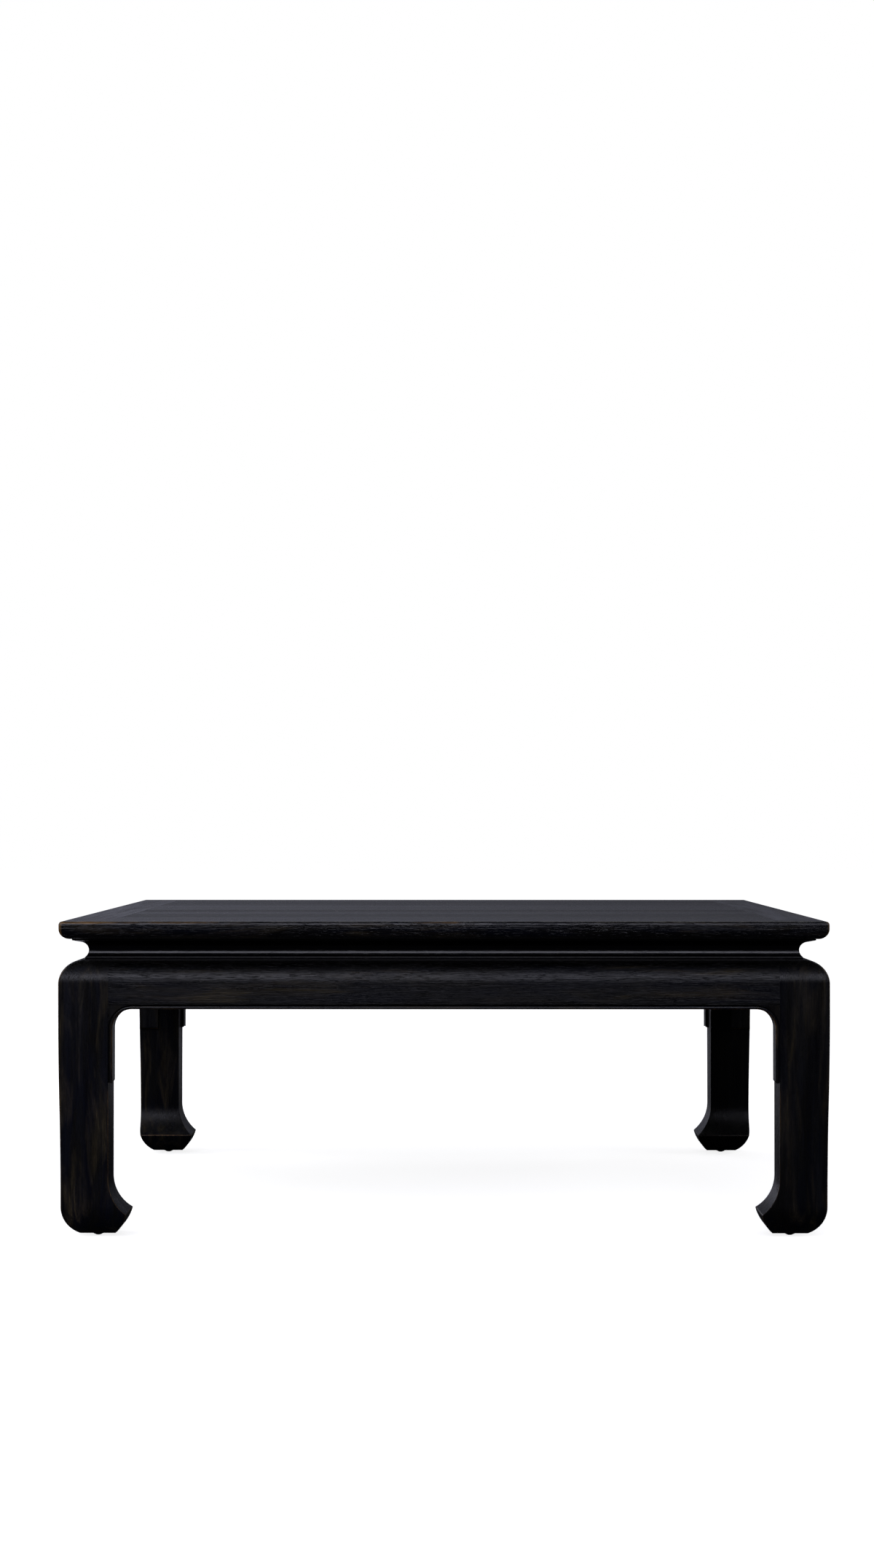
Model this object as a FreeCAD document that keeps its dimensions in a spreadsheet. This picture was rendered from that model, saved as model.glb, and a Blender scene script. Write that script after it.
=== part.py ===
import FreeCAD, Part

import math
import os

import Sketcher
from FreeCAD import Rotation, Vector

# Kang table in black-stained elm.
# A square mitred frame with flush planks stands on a coved waist, four aprons with a rounded shoulder and
# four legs with hoof feet that turn inward. A thin strip lines each opening below the apron and down its
# legs.
# Lengths are in millimetres. X runs along the front, Y towards the back, Z up from the floor, with the
# origin on the floor at the middle of the table.

# Every size that is set by itself.
SIZES = {
    # The whole table
    "top_length": 1120.0,
    "top_depth": 1120.0,
    "table_height": 461.0,
    # Mitred frame of the top
    "rail_width": 70.0,
    "rail_thickness": 26.0,
    "rail_arris_radius": 5.0,
    "rail_belly_radius": 15.0,
    "groove_drop": 7.0,
    "groove_height": 6.0,
    "groove_depth": 9.0,
    # Planks of the panel
    "plank_thickness": 18.0,
    "tongue_length": 8.0,
    # Battens under the panel
    "batten_spacing": 330.0,
    "batten_width": 40.0,
    "batten_height": 24.0,
    "dovetail_neck": 22.0,
    "dovetail_head": 28.0,
    "dovetail_height": 6.0,
    "batten_tenon_width": 24.0,
    "batten_tenon_height": 5.0,
    "batten_tenon_length": 14.0,
    # Coved waist
    "waist_height": 31.0,
    "waist_back_inset": 52.0,
    "waist_lip_inset": 17.2,
    "waist_lip_height": 2.0,
    "cove_top_inset": 30.0,
    "cove_top_height": 26.0,
    "cove_radius": 12.5,
    "waist_foot_inset": 34.3,
    "waist_foot_height": 4.0,
    # Aprons
    "apron_height": 64.5,
    "apron_thickness": 44.0,
    "apron_tenon_length": 25.0,
    "apron_tenon_thickness": 14.0,
    "apron_tenon_height": 40.0,
    "apron_tenon_inset": 14.0,
    "apron_tenon_rise": 10.0,
    # Legs
    "leg_proud": 0.6,
    "leg_width": 73.0,
    "leg_taper": 3.6,
    "leg_arris_chamfer": 1.8,
    "shoulder_inset": 29.0,
    "shoulder_drop": 32.5,
    "leg_tenon_width": 14.0,
    "leg_tenon_length": 8.0,
    # Hoof feet
    "hoof_reach": 25.5,
    "hoof_tip_height": 29.0,
    "hoof_flare_height": 52.1,
    "hoof_flare_radius": 66.0,
    "hoof_under_radius": 55.0,
    "sole_reach": 8.0,
    "foot_round_inset": 24.7,
    "foot_round_height": 41.5,
    # Liner strips and the corner blocks behind them
    "strip_thickness": 6.0,
    "strip_width": 34.0,
    "strip_inset": 1.5,
    "strip_nose_chamfer": 1.7,
    "strip_end_radius": 3.0,
    "corner_radius": 34.0,
    "bracket_drop": 113.0,
    # Nailed glides
    "glide_height": 5.5,
    "glide_radius": 8.0,
    "glide_crown_radius": 3.2,
    "glide_shoulder_height": 2.2,
    "glide_inset": 53.0,
    "nail_radius": 1.2,
    "nail_length": 14.0,
    # Working allowances
    "joint_clearance": 0.2,
    "overrun": 2.0,
}

# Width of each plank from the front to the back, as a share of the panel's depth.
PLANK_WIDTH_SHARES = [0.127, 0.129, 0.107, 0.106, 0.104, 0.141, 0.143, 0.143]

# How far short of its tangents, in radians, a corner block's hollow is trimmed to leave no feather edge.
TRIM_ANGLE = math.radians(9.0)

HALF = 0.5

# The cosine and sine of each quarter turn about the middle of the table, seen from above.
QUARTER_TURNS = [(1, 0), (0, 1), (-1, 0), (0, -1)]
QUARTER_ANGLE = math.degrees(math.pi / 2)

# The corners in the order of those turns, with the direction of each along X and along Y.
CORNERS = {
    "front_left": (-1, -1),
    "front_right": (1, -1),
    "back_right": (1, 1),
    "back_left": (-1, 1),
}

# The way an arc bends, seen along the outline.
LEFT = 1
RIGHT = -1

# Marks an arc that runs on smoothly from the edge before it.
SMOOTH = "smooth"

document = FreeCAD.newDocument("KangTable")
sheet = document.addObject("Spreadsheet::Sheet", "Sizes")
for row, (alias, size) in enumerate(SIZES.items(), 1):
    sheet.set(f"A{row}", alias)
    sheet.set(f"B{row}", str(size))
    sheet.setAlias(f"B{row}", alias)
document.recompute()


def number_of(factor):
    """The plain number that a factor stands for."""
    return factor.value if isinstance(factor, Length) else factor


class Length:
    """A length with its value and the formula over the sheet that keeps a property bound to it."""

    def __init__(self, value, formula):
        self.value = value
        self.formula = formula

    def joined(self, sign, other, value):
        """The result of one arithmetic step, with its formula."""
        text = other.formula if isinstance(other, Length) else str(other)
        return Length(value, f"({self.formula} {sign} {text})")

    def __add__(self, other):
        return self.joined("+", other, self.value + other.value)

    def __sub__(self, other):
        return self.joined("-", other, self.value - other.value)

    def __mul__(self, factor):
        return self.joined("*", factor, self.value * number_of(factor))

    def __truediv__(self, factor):
        return self.joined("/", factor, self.value / number_of(factor))

    def __neg__(self):
        return self * -1


def size_of(alias):
    """The named size as a length bound to its cell."""
    return Length(SIZES[alias], f"Sizes.{alias}")


ZERO = Length(0.0, "0")

top_length = size_of("top_length")
top_depth = size_of("top_depth")
table_height = size_of("table_height")
rail_width = size_of("rail_width")
rail_thickness = size_of("rail_thickness")
groove_depth = size_of("groove_depth")
waist_height = size_of("waist_height")
apron_height = size_of("apron_height")
apron_thickness = size_of("apron_thickness")
leg_proud = size_of("leg_proud")
leg_width = size_of("leg_width")
shoulder_inset = size_of("shoulder_inset")
shoulder_drop = size_of("shoulder_drop")
strip_thickness = size_of("strip_thickness")
corner_radius = size_of("corner_radius")
glide_height = size_of("glide_height")
clearance = size_of("joint_clearance")
overrun = size_of("overrun")

# Heights and runs that several pieces share.
rail_underside = table_height - rail_thickness
plank_underside = table_height - size_of("plank_thickness")
groove_top = table_height - size_of("groove_drop")
groove_bottom = groove_top - size_of("groove_height")
leg_top = rail_underside - waist_height
apron_underside = leg_top - apron_height
panel_length = top_length - rail_width * 2
panel_depth = top_depth - rail_width * 2
front_run = top_length + leg_proud * 2 - leg_width * 2
side_run = top_depth + leg_proud * 2 - leg_width * 2

# Each side of the table, in the order of the turns: its length, the distance from the middle to its edge and
# the run between its legs.
SIDES = {
    "front": (top_length, top_depth * HALF, front_run),
    "right": (top_depth, top_length * HALF, side_run),
    "back": (top_length, top_depth * HALF, front_run),
    "left": (top_depth, top_length * HALF, side_run),
}


def bind(target, path, length):
    """Sets a property to a length and ties it to the sheet."""
    target.setExpression(path, length.formula)


def new_body(name, turn=0, across=ZERO, away=ZERO):
    """A body turned by quarters about the middle of the table, its own origin moved across and away from it.

    Turned back to the front side, the origin lies at X = across and Y = -away.
    """
    body = document.addObject("PartDesign::Body", name)
    body.Label = name
    cosine, sine = QUARTER_TURNS[turn]
    body.Placement.Rotation = Rotation(Vector(0, 0, 1), QUARTER_ANGLE * turn)
    bind(body, "Placement.Base.x", across * cosine + away * sine)
    bind(body, "Placement.Base.y", across * sine - away * cosine)
    return body


def arc_between(start, end, radius, bend):
    """The arc of a radius from one point to the next that bends left or right, as sketch geometry."""
    chord = end - start
    rise = math.sqrt(max(radius * radius - chord.Length * chord.Length / 4, 0.0))
    normal = Vector(-chord.y, chord.x, 0).normalize()
    centre = (start + end) / 2 + normal * rise * bend
    first, last = (start, end) if bend == LEFT else (end, start)
    angles = [math.atan2(point.y - centre.y, point.x - centre.x) for point in (first, last)]
    return Part.ArcOfCircle(Part.Circle(centre, Vector(0, 0, 1), radius), *angles)


def draw(body, role, outlines, lift=ZERO, circles=()):
    """A fully bound sketch on one of the body's origin planes.

    Each outline is a closed list of corners (x, y). A corner (x, y, bend, radius) starts an arc to the next
    one, and with SMOOTH added, an arc that runs on from the edge before it at about that radius.
    Each circle is (x, y, radius). The sketch is lifted along its plane's normal.
    """
    sketch = body.newObject("Sketcher::SketchObject", body.Name + "_sketch")
    plane = [feature for feature in body.Origin.OriginFeatures if feature.Role == role][0]
    sketch.AttachmentSupport = [(plane, "")]
    sketch.MapMode = "FlatFace"
    bind(sketch, "AttachmentOffset.Base.z", lift)

    def fix(kind, *place, length):
        index = sketch.addConstraint(Sketcher.Constraint(kind, *place, length.value))
        bind(sketch, f"Constraints[{index}]", length)

    for outline in outlines:
        points = [Vector(corner[0].value, corner[1].value, 0) for corner in outline]
        ends = []
        for number, corner in enumerate(outline):
            start, end = points[number], points[(number + 1) % len(points)]
            if len(corner) == 2:
                edge = sketch.addGeometry(Part.LineSegment(start, end))
                ends.append((edge, 1, 2))
            else:
                bend, radius = corner[2:4]
                edge = sketch.addGeometry(arc_between(start, end, radius.value, bend))
                ends.append((edge, 1, 2) if bend == LEFT else (edge, 2, 1))
                if SMOOTH not in corner:
                    fix("Radius", edge, length=radius)
            fix("DistanceX", -1, 1, edge, ends[-1][1], length=corner[0])
            fix("DistanceY", -1, 1, edge, ends[-1][1], length=corner[1])
        for number, (edge, _, tail) in enumerate(ends):
            after = (number + 1) % len(ends)
            kind = "Tangent" if SMOOTH in outline[after] else "Coincident"
            sketch.addConstraint(Sketcher.Constraint(kind, edge, tail, ends[after][0], ends[after][1]))
    for across, up, radius in circles:
        centre = Vector(across.value, up.value, 0)
        ring = sketch.addGeometry(Part.Circle(centre, Vector(0, 0, 1), radius.value))
        fix("Radius", ring, length=radius)
        fix("DistanceX", -1, 1, ring, 3, length=across)
        fix("DistanceY", -1, 1, ring, 3, length=up)
    return sketch


def box_outline(left, bottom, right, top):
    """The four corners of a rectangle."""
    return [(left, bottom), (right, bottom), (right, top), (left, top)]


def pad(body, sketch, length, both_ways=False, backwards=False):
    """Adds material along the sketch's normal, the other way, or half the length each way."""
    feature = body.newObject("PartDesign::Pad", body.Name + "_pad")
    feature.Profile = sketch
    feature.SideType = "Symmetric" if both_ways else "One side"
    feature.Reversed = backwards
    bind(feature, "Length", length)
    return feature


def pocket(body, sketch, length=None, backwards=False):
    """Cuts against the sketch's normal, or along it when backwards, or right through both ways."""
    feature = body.newObject("PartDesign::Pocket", body.Name + "_pocket")
    feature.Profile = sketch
    if length is None:
        feature.SideType = "Symmetric"
        feature.Type = "ThroughAll"
    else:
        feature.Reversed = backwards
        bind(feature, "Length", length)
    return feature


def chamfer(body, size, wanted):
    """Bevels the edges of the body's last feature that the test accepts."""
    document.recompute()
    base = body.Tip
    names = [f"Edge{number}" for number, edge in enumerate(base.Shape.Edges, 1) if wanted(edge)]
    feature = body.newObject("PartDesign::Chamfer", body.Name + "_chamfer")
    feature.Base = (base, names)
    bind(feature, "Size", size)
    return feature


def round_radius(inset, drop):
    """The radius of the arc that leaves an upright face and draws in by the inset over the drop."""
    return (inset * inset + drop * drop) / (inset * 2)


def mitre_waste(length, width):
    """The two corners that a 45 degree mitre takes off a piece whose outer edge has this length."""
    tip = length * HALF
    wastes = []
    for side in (1, -1):
        wastes.append([
            ((tip + overrun) * side, -overrun),
            ((tip + overrun) * side, width + overrun),
            ((tip - width - overrun) * side, width + overrun),
        ])
    return wastes


def make_rail(name, turn, length, away, batten_mortises):
    """One mitred rail of the top, moulded outside, grooved inside for the panel."""
    arris, belly = size_of("rail_arris_radius"), size_of("rail_belly_radius")
    body = new_body(name, turn, away=away)
    section = [
        (arris, table_height),
        (rail_width, table_height),
        (rail_width, groove_top),
        (rail_width - groove_depth, groove_top),
        (rail_width - groove_depth, groove_bottom),
        (rail_width, groove_bottom),
        (rail_width, rail_underside),
        (belly, rail_underside, RIGHT, belly),
        (ZERO, rail_underside + belly),
        (ZERO, table_height - arris, RIGHT, arris),
    ]
    pad(body, draw(body, "YZ_Plane", [section]), length, both_ways=True)
    pocket(body, draw(body, "XY_Plane", mitre_waste(length, rail_width)))
    seat = size_of("waist_back_inset") - clearance * HALF
    far = seat + size_of("leg_tenon_width") + clearance * 2
    tip = length * HALF
    notches = [box_outline((tip - far) * side, seat, (tip - seat) * side, far) for side in (1, -1)]
    pocket(body, draw(body, "XY_Plane", notches, rail_underside), size_of("leg_tenon_length") + clearance,
           backwards=True)
    if batten_mortises:
        half_width = (size_of("batten_tenon_width") + clearance) * HALF
        mortises = []
        for step in (-1, 0, 1):
            middle = size_of("batten_spacing") * step
            mortises.append(box_outline(middle - half_width, plank_underside - size_of("batten_tenon_height"),
                                        middle + half_width, plank_underside))
        depth = size_of("batten_tenon_length") + clearance
        pocket(body, draw(body, "XZ_Plane", mortises, -rail_width), depth, backwards=True)
    return body


def dovetail_slots():
    """The outlines of the three slots in the panel's underside that the battens slide along."""
    neck, head = size_of("dovetail_neck"), size_of("dovetail_head")
    height = size_of("dovetail_height")
    slots = []
    for step in (-1, 0, 1):
        middle = size_of("batten_spacing") * step
        slots.append([
            (middle - neck * HALF, plank_underside),
            (middle + neck * HALF, plank_underside),
            (middle + head * HALF, plank_underside + height),
            (middle - head * HALF, plank_underside + height),
        ])
    return slots


def make_plank(name, start, width, front_tongue):
    """One plank of the panel, tongued into its neighbours and into the frame, with slots for the battens."""
    tongue = size_of("tongue_length")
    body = new_body(name, away=panel_depth * HALF - start)
    low, high = groove_bottom, groove_top
    section = [(ZERO, plank_underside), (width, plank_underside), (width, low), (width + tongue, low),
               (width + tongue, high), (width, high), (width, table_height), (ZERO, table_height)]
    if front_tongue:
        section += [(ZERO, high), (-tongue, high), (-tongue, low), (ZERO, low)]
    else:
        section += [(ZERO, high), (groove_depth, high), (groove_depth, low), (ZERO, low)]
    pad(body, draw(body, "YZ_Plane", [section]), panel_length, both_ways=True)
    end_start = ZERO if front_tongue else groove_depth
    end_tongue = box_outline(end_start, low, width, high)
    pad(body, draw(body, "YZ_Plane", [end_tongue]), panel_length + tongue * 2, both_ways=True)
    pocket(body, draw(body, "XZ_Plane", dovetail_slots()))
    return body


def make_batten(name, step):
    """One batten under the panel, with a dovetail along its top and a tenon at each end."""
    neck, head, height = size_of("dovetail_neck"), size_of("dovetail_head"), size_of("dovetail_height")
    half_width = size_of("batten_width") * HALF
    body = new_body(name, across=size_of("batten_spacing") * step)
    underside = plank_underside - size_of("batten_height")
    section = [
        (-half_width, underside),
        (half_width, underside),
        (half_width, plank_underside),
        (neck * HALF, plank_underside),
        (head * HALF, plank_underside + height),
        (-head * HALF, plank_underside + height),
        (-neck * HALF, plank_underside),
        (-half_width, plank_underside),
    ]
    pad(body, draw(body, "XZ_Plane", [section]), panel_depth, both_ways=True)
    half_tenon = size_of("batten_tenon_width") * HALF
    tenon_underside = plank_underside - size_of("batten_tenon_height")
    tenon = box_outline(-half_tenon, tenon_underside, half_tenon, plank_underside)
    reach = panel_depth + size_of("batten_tenon_length") * 2
    pad(body, draw(body, "XZ_Plane", [tenon]), reach, both_ways=True)
    return body


def make_waist(name, turn, length, away):
    """One mitred waist board with a thin lip, a deep cove and a square foot."""
    foot_inset, back_inset = size_of("waist_foot_inset"), size_of("waist_back_inset")
    lip_inset = size_of("waist_lip_inset")
    body = new_body(name, turn, away=away)
    section = [
        (foot_inset, leg_top),
        (back_inset, leg_top),
        (back_inset, rail_underside),
        (lip_inset, rail_underside),
        (lip_inset, rail_underside - size_of("waist_lip_height")),
        (size_of("cove_top_inset"), leg_top + size_of("cove_top_height"), RIGHT, size_of("cove_radius")),
        (foot_inset, leg_top + size_of("waist_foot_height")),
    ]
    pad(body, draw(body, "YZ_Plane", [section]), length, both_ways=True)
    pocket(body, draw(body, "XY_Plane", mitre_waste(length, back_inset)))
    return body


def make_apron(name, turn, away, run):
    """One apron with its rounded shoulder and a tenon at each end."""
    body = new_body(name, turn, away=away + leg_proud)
    section = [
        (ZERO, apron_underside),
        (apron_thickness, apron_underside),
        (apron_thickness, leg_top),
        (shoulder_inset, leg_top, LEFT, round_radius(shoulder_inset, shoulder_drop)),
        (ZERO, leg_top - shoulder_drop),
    ]
    pad(body, draw(body, "YZ_Plane", [section]), run, both_ways=True)
    inset, rise = size_of("apron_tenon_inset"), apron_underside + size_of("apron_tenon_rise")
    tenon = box_outline(inset, rise, inset + size_of("apron_tenon_thickness"),
                        rise + size_of("apron_tenon_height"))
    reach = run + size_of("apron_tenon_length") * 2
    pad(body, draw(body, "YZ_Plane", [tenon]), reach, both_ways=True)
    return body


def leg_profile():
    """A leg seen square on, from its shoulder to its hoof, with insets from its outer face."""
    sole = glide_height
    taper = size_of("leg_taper")
    tip_height = sole + size_of("hoof_tip_height")
    round_inset, round_height = size_of("foot_round_inset"), size_of("foot_round_height")
    knee = sole + round_height
    # The face draws in along two arcs of equal height, so it is upright at the apron and at the knee.
    half_taper, half_drop = taper * HALF, (apron_underside - knee) * HALF
    sweep = round_radius(half_taper, half_drop)
    return [
        (shoulder_inset, leg_top, LEFT, round_radius(shoulder_inset, shoulder_drop)),
        (ZERO, leg_top - shoulder_drop),
        (ZERO, apron_underside, LEFT, sweep),
        (half_taper, knee + half_drop, RIGHT, sweep, SMOOTH),
        (taper, knee, LEFT, round_radius(round_inset, round_height), SMOOTH),
        (taper + round_inset, sole),
        (leg_width + size_of("sole_reach"), sole, LEFT, size_of("hoof_under_radius")),
        (leg_width + size_of("hoof_reach"), tip_height, RIGHT, size_of("hoof_flare_radius")),
        (leg_width, tip_height + size_of("hoof_flare_height")),
        (leg_width, leg_top),
    ]


def make_leg(name, turn, across, away):
    """One leg: the same profile on both faces, a tenon on top, two mortises and a nail hole in the sole."""
    body = new_body(name, turn, across, away)
    spread = leg_width + size_of("hoof_reach")

    def on_a_diagonal(edge):
        return all(abs(vertex.Point.x - vertex.Point.y) < clearance.value for vertex in edge.Vertexes)

    pad(body, draw(body, "XZ_Plane", [leg_profile()]), spread, backwards=True)
    surround = box_outline(-overrun, -overrun, spread + overrun, leg_top + overrun)
    pocket(body, draw(body, "YZ_Plane", [surround, leg_profile()]))
    chamfer(body, size_of("leg_arris_chamfer"), on_a_diagonal)
    seat, tenon = size_of("waist_back_inset") + leg_proud, size_of("leg_tenon_width")
    top_tenon = box_outline(seat, seat, seat + tenon, seat + tenon)
    pad(body, draw(body, "XY_Plane", [top_tenon], leg_top), waist_height + size_of("leg_tenon_length"))
    inset, thickness = size_of("apron_tenon_inset"), size_of("apron_tenon_thickness")
    rise = apron_underside + size_of("apron_tenon_rise")
    depth = size_of("apron_tenon_length") + clearance
    mortise = box_outline(leg_width - depth, rise, leg_width + overrun, rise + size_of("apron_tenon_height"))
    pocket(body, draw(body, "XZ_Plane", [mortise], -inset), thickness)
    pocket(body, draw(body, "YZ_Plane", [mortise], inset), thickness, backwards=True)
    nail = (size_of("glide_inset"), size_of("glide_inset"), size_of("nail_radius"))
    pocket(body, draw(body, "XY_Plane", [], glide_height, [nail]), size_of("nail_length") + clearance,
           backwards=True)
    return body


def make_corner_block(name, turn, away, run, side):
    """The block that rounds one upper corner of an opening, between the leg and the apron."""
    body = new_body(name, turn, (run * HALF) * side, away + leg_proud)
    reach, tip = corner_radius * (1 - math.sin(TRIM_ANGLE)), corner_radius * (1 - math.cos(TRIM_ANGLE))
    outline = [
        (ZERO, apron_underside),
        (reach * -side, apron_underside),
        (reach * -side, apron_underside - tip, RIGHT * side, corner_radius),
        (tip * -side, apron_underside - reach),
        (ZERO, apron_underside - reach),
    ]
    pad(body, draw(body, "XZ_Plane", [outline]), apron_thickness, backwards=True)
    return body


def make_apron_strip(name, turn, away, run):
    """The straight liner strip under one apron, with a bevelled nose."""
    body = new_body(name, turn, away=away + leg_proud)
    nose, front = size_of("strip_nose_chamfer"), size_of("strip_inset")
    back, underside = front + size_of("strip_width"), apron_underside - strip_thickness
    section = [
        (front + nose, underside),
        (back, underside),
        (back, apron_underside),
        (front + nose, apron_underside),
        (front, apron_underside - nose),
        (front, underside + nose),
    ]
    pad(body, draw(body, "YZ_Plane", [section]), run - corner_radius * 2, both_ways=True)
    return body


def make_bracket_strip(name, turn, away, run, side):
    """The liner strip that turns down from the apron and runs along the leg, with a bevelled nose."""
    body = new_body(name, turn, (run * HALF) * side, away + leg_proud)
    front, end_radius = size_of("strip_inset"), size_of("strip_end_radius")
    end = apron_underside - size_of("bracket_drop")
    outline = [
        (corner_radius * -side, apron_underside, RIGHT * side, corner_radius),
        (ZERO, apron_underside - corner_radius),
        (ZERO, end),
        ((strip_thickness - end_radius) * -side, end, RIGHT * side, end_radius),
        (strip_thickness * -side, end + end_radius),
        (strip_thickness * -side, apron_underside - corner_radius, LEFT * side,
         corner_radius - strip_thickness),
        (corner_radius * -side, apron_underside - strip_thickness),
    ]
    pad(body, draw(body, "XZ_Plane", [outline], -front), size_of("strip_width"), backwards=True)
    joint = corner_radius.value - clearance.value

    def on_the_nose(edge):
        at_front = all(abs(vertex.Point.y - front.value) < clearance.value for vertex in edge.Vertexes)
        return at_front and any(abs(vertex.Point.x) < joint for vertex in edge.Vertexes)

    chamfer(body, size_of("strip_nose_chamfer"), on_the_nose)
    return body


def make_glide(name, across, away):
    """A low glide with a straight wall, a bevelled crown and a nail."""
    body = new_body(name, 0, across, away)
    radius, nail = size_of("glide_radius"), size_of("nail_radius")
    profile = [
        (ZERO, ZERO),
        (size_of("glide_crown_radius"), ZERO),
        (radius, size_of("glide_shoulder_height")),
        (radius, glide_height),
        (nail, glide_height),
        (nail, glide_height + size_of("nail_length")),
        (ZERO, glide_height + size_of("nail_length")),
    ]
    feature = body.newObject("PartDesign::Revolution", name + "_turned")
    feature.Profile = draw(body, "XZ_Plane", [profile])
    feature.ReferenceAxis = ([axis for axis in body.Origin.OriginFeatures if axis.Role == "Z_Axis"][0], [""])
    return body


def build_table():
    """Every piece of the table, each as a body of its own."""
    pieces = []
    for turn, (side, (length, away, run)) in enumerate(SIDES.items()):
        pieces.append(make_rail(f"top_rail_{side}", turn, length, away, side in ("front", "back")))
        pieces.append(make_waist(f"waist_{side}", turn, length, away))
        pieces.append(make_apron(f"apron_{side}", turn, away, run))
        pieces.append(make_apron_strip(f"apron_strip_{side}", turn, away, run))
        for end, sign in (("a", -1), ("b", 1)):
            pieces.append(make_corner_block(f"corner_block_{side}_{end}", turn, away, run, sign))
            pieces.append(make_bracket_strip(f"bracket_strip_{side}_{end}", turn, away, run, sign))
    start = ZERO
    for number, share in enumerate(PLANK_WIDTH_SHARES, 1):
        width = panel_depth * (share / sum(PLANK_WIDTH_SHARES))
        pieces.append(make_plank(f"plank_{number}", start, width, number == 1))
        start = start + width
    for number, step in enumerate((-1, 0, 1), 1):
        pieces.append(make_batten(f"batten_{number}", step))
    half_length, half_depth = top_length * HALF + leg_proud, top_depth * HALF + leg_proud
    inset = size_of("glide_inset")
    for turn, (corner, (east, north)) in enumerate(CORNERS.items()):
        across, away = (half_length, half_depth) if east == north else (half_depth, half_length)
        pieces.append(make_leg(f"leg_{corner}", turn, -across, away))
        glide_across, glide_away = (half_length - inset) * east, (half_depth - inset) * -north
        pieces.append(make_glide(f"glide_{corner}", glide_across, glide_away))
    return pieces


def check(pieces):
    """Stops if an object failed, a piece is not one valid solid, or a feature changed nothing."""
    for item in document.Objects:
        if "Invalid" in item.State or "Error" in item.State:
            raise RuntimeError(f"{item.Name} failed: {item.State}")
        base = getattr(item, "BaseFeature", None)
        if base is not None and not item.isDerivedFrom("PartDesign::Body"):
            change = abs(item.Shape.Volume - base.Shape.Volume)
            if change < clearance.value ** 3:
                raise RuntimeError(f"{item.Name} changed nothing")
    for piece in pieces:
        if piece.Shape.isNull() or not piece.Shape.isValid() or len(piece.Shape.Solids) != 1:
            raise RuntimeError(f"{piece.Label} is not one valid solid")


pieces = build_table()
document.recompute()
check(pieces)
os.makedirs("parts", exist_ok=True)
for piece in pieces:
    piece.Shape.exportStep(f"parts/{piece.Label}.step")
print(len(pieces), "pieces written")
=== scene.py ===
import logging
import math
from collections.abc import Callable
from dataclasses import dataclass
from enum import Enum

import bmesh
import bpy
from mathutils import Matrix, Vector


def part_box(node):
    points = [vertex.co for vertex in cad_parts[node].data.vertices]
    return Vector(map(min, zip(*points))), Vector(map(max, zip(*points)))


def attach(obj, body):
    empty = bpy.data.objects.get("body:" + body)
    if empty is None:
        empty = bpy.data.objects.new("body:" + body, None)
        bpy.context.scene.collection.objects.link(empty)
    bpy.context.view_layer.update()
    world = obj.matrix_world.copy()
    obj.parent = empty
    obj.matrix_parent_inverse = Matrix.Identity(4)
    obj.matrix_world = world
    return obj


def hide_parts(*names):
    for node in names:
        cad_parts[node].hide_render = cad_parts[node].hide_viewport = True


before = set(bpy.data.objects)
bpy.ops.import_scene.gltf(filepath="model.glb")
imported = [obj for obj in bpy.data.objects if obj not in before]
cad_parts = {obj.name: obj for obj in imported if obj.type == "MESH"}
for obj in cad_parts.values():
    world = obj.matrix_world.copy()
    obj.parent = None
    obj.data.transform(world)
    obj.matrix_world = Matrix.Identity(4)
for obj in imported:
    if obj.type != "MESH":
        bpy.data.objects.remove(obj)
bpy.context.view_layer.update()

# Kang table in black-stained elm, dressed around its construction model.
# Lengths are in metres. X runs along the front, Y towards the back, Z up from the floor.

MM = 0.001
SIDES = ("front", "right", "back", "left")
CORNERS = ("front_left", "front_right", "back_right", "back_left")
QUARTER = math.pi / 2

# Points closer to a line or a plane than NEAR lie on it, and points closer together than TOUCH are one.
NEAR = MM / 10
TOUCH = MM / 100

# How far the middle of a rounded arris lies from the sharp corner it replaces, in radii.
ARRIS_DEPTH = math.sqrt(2) - 1

# Wear grows this much faster than the round, so that it is full before the middle of an arris.
WEAR_GROWTH = 1.4

# How far apart in the wood two pieces with successive numbers lie, so that no two show the same grain.
# Each class numbers its own pieces from its first_grain.
GRAIN_STEP = Vector((0.731, 0.577, 0.313))

# Nearly black: dark joints, and painted shade. The height over which painted shade under the waist comes in.
DARK_JOINT_AND_PAINTED_SHADE = -0.95
PAINTED_SHADE_FADE = 6 * MM

# Edges that fold by more than this stay sharp. On the rest, large faces lead the shading this strongly.
SHARP_FOLD = math.radians(40)
FACE_WEIGHT = 80

# The settings of the two kinds of arithmetic node that the finishes use most.
MULTIPLY = {"operation": "MULTIPLY"}
MULTIPLY_ADD = {"operation": "MULTIPLY_ADD"}

log = logging.getLogger("kang_table")


class Bend(Enum):
    """The way an arc of an outline turns, seen along the outline."""

    LEFT = 1
    RIGHT = -1


class Grain(Enum):
    """Which way the fibres of a piece run, in the piece's own axes."""

    ALONG_X = (0, 1, 2)
    UPRIGHT = (2, 0, 1)


class Axis(Enum):
    """An axis of a piece."""

    X = (1, 0, 0)
    Y = (0, 1, 0)
    Z = (0, 0, 1)


class Lie(Enum):
    """How an outline turns to its side of the table: X along the side, Y inward from its face, Z up."""

    ALONG_SIDE = ((0, 0, 1, 0), (1, 0, 0, 0), (0, 1, 0, 0))
    INTO_SIDE = ((1, 0, 0, 0), (0, 0, 1, 0), (0, 1, 0, 0))


class End(Enum):
    """An end of an opening, seen from outside."""

    LEFT = "a"
    RIGHT = "b"


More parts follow.
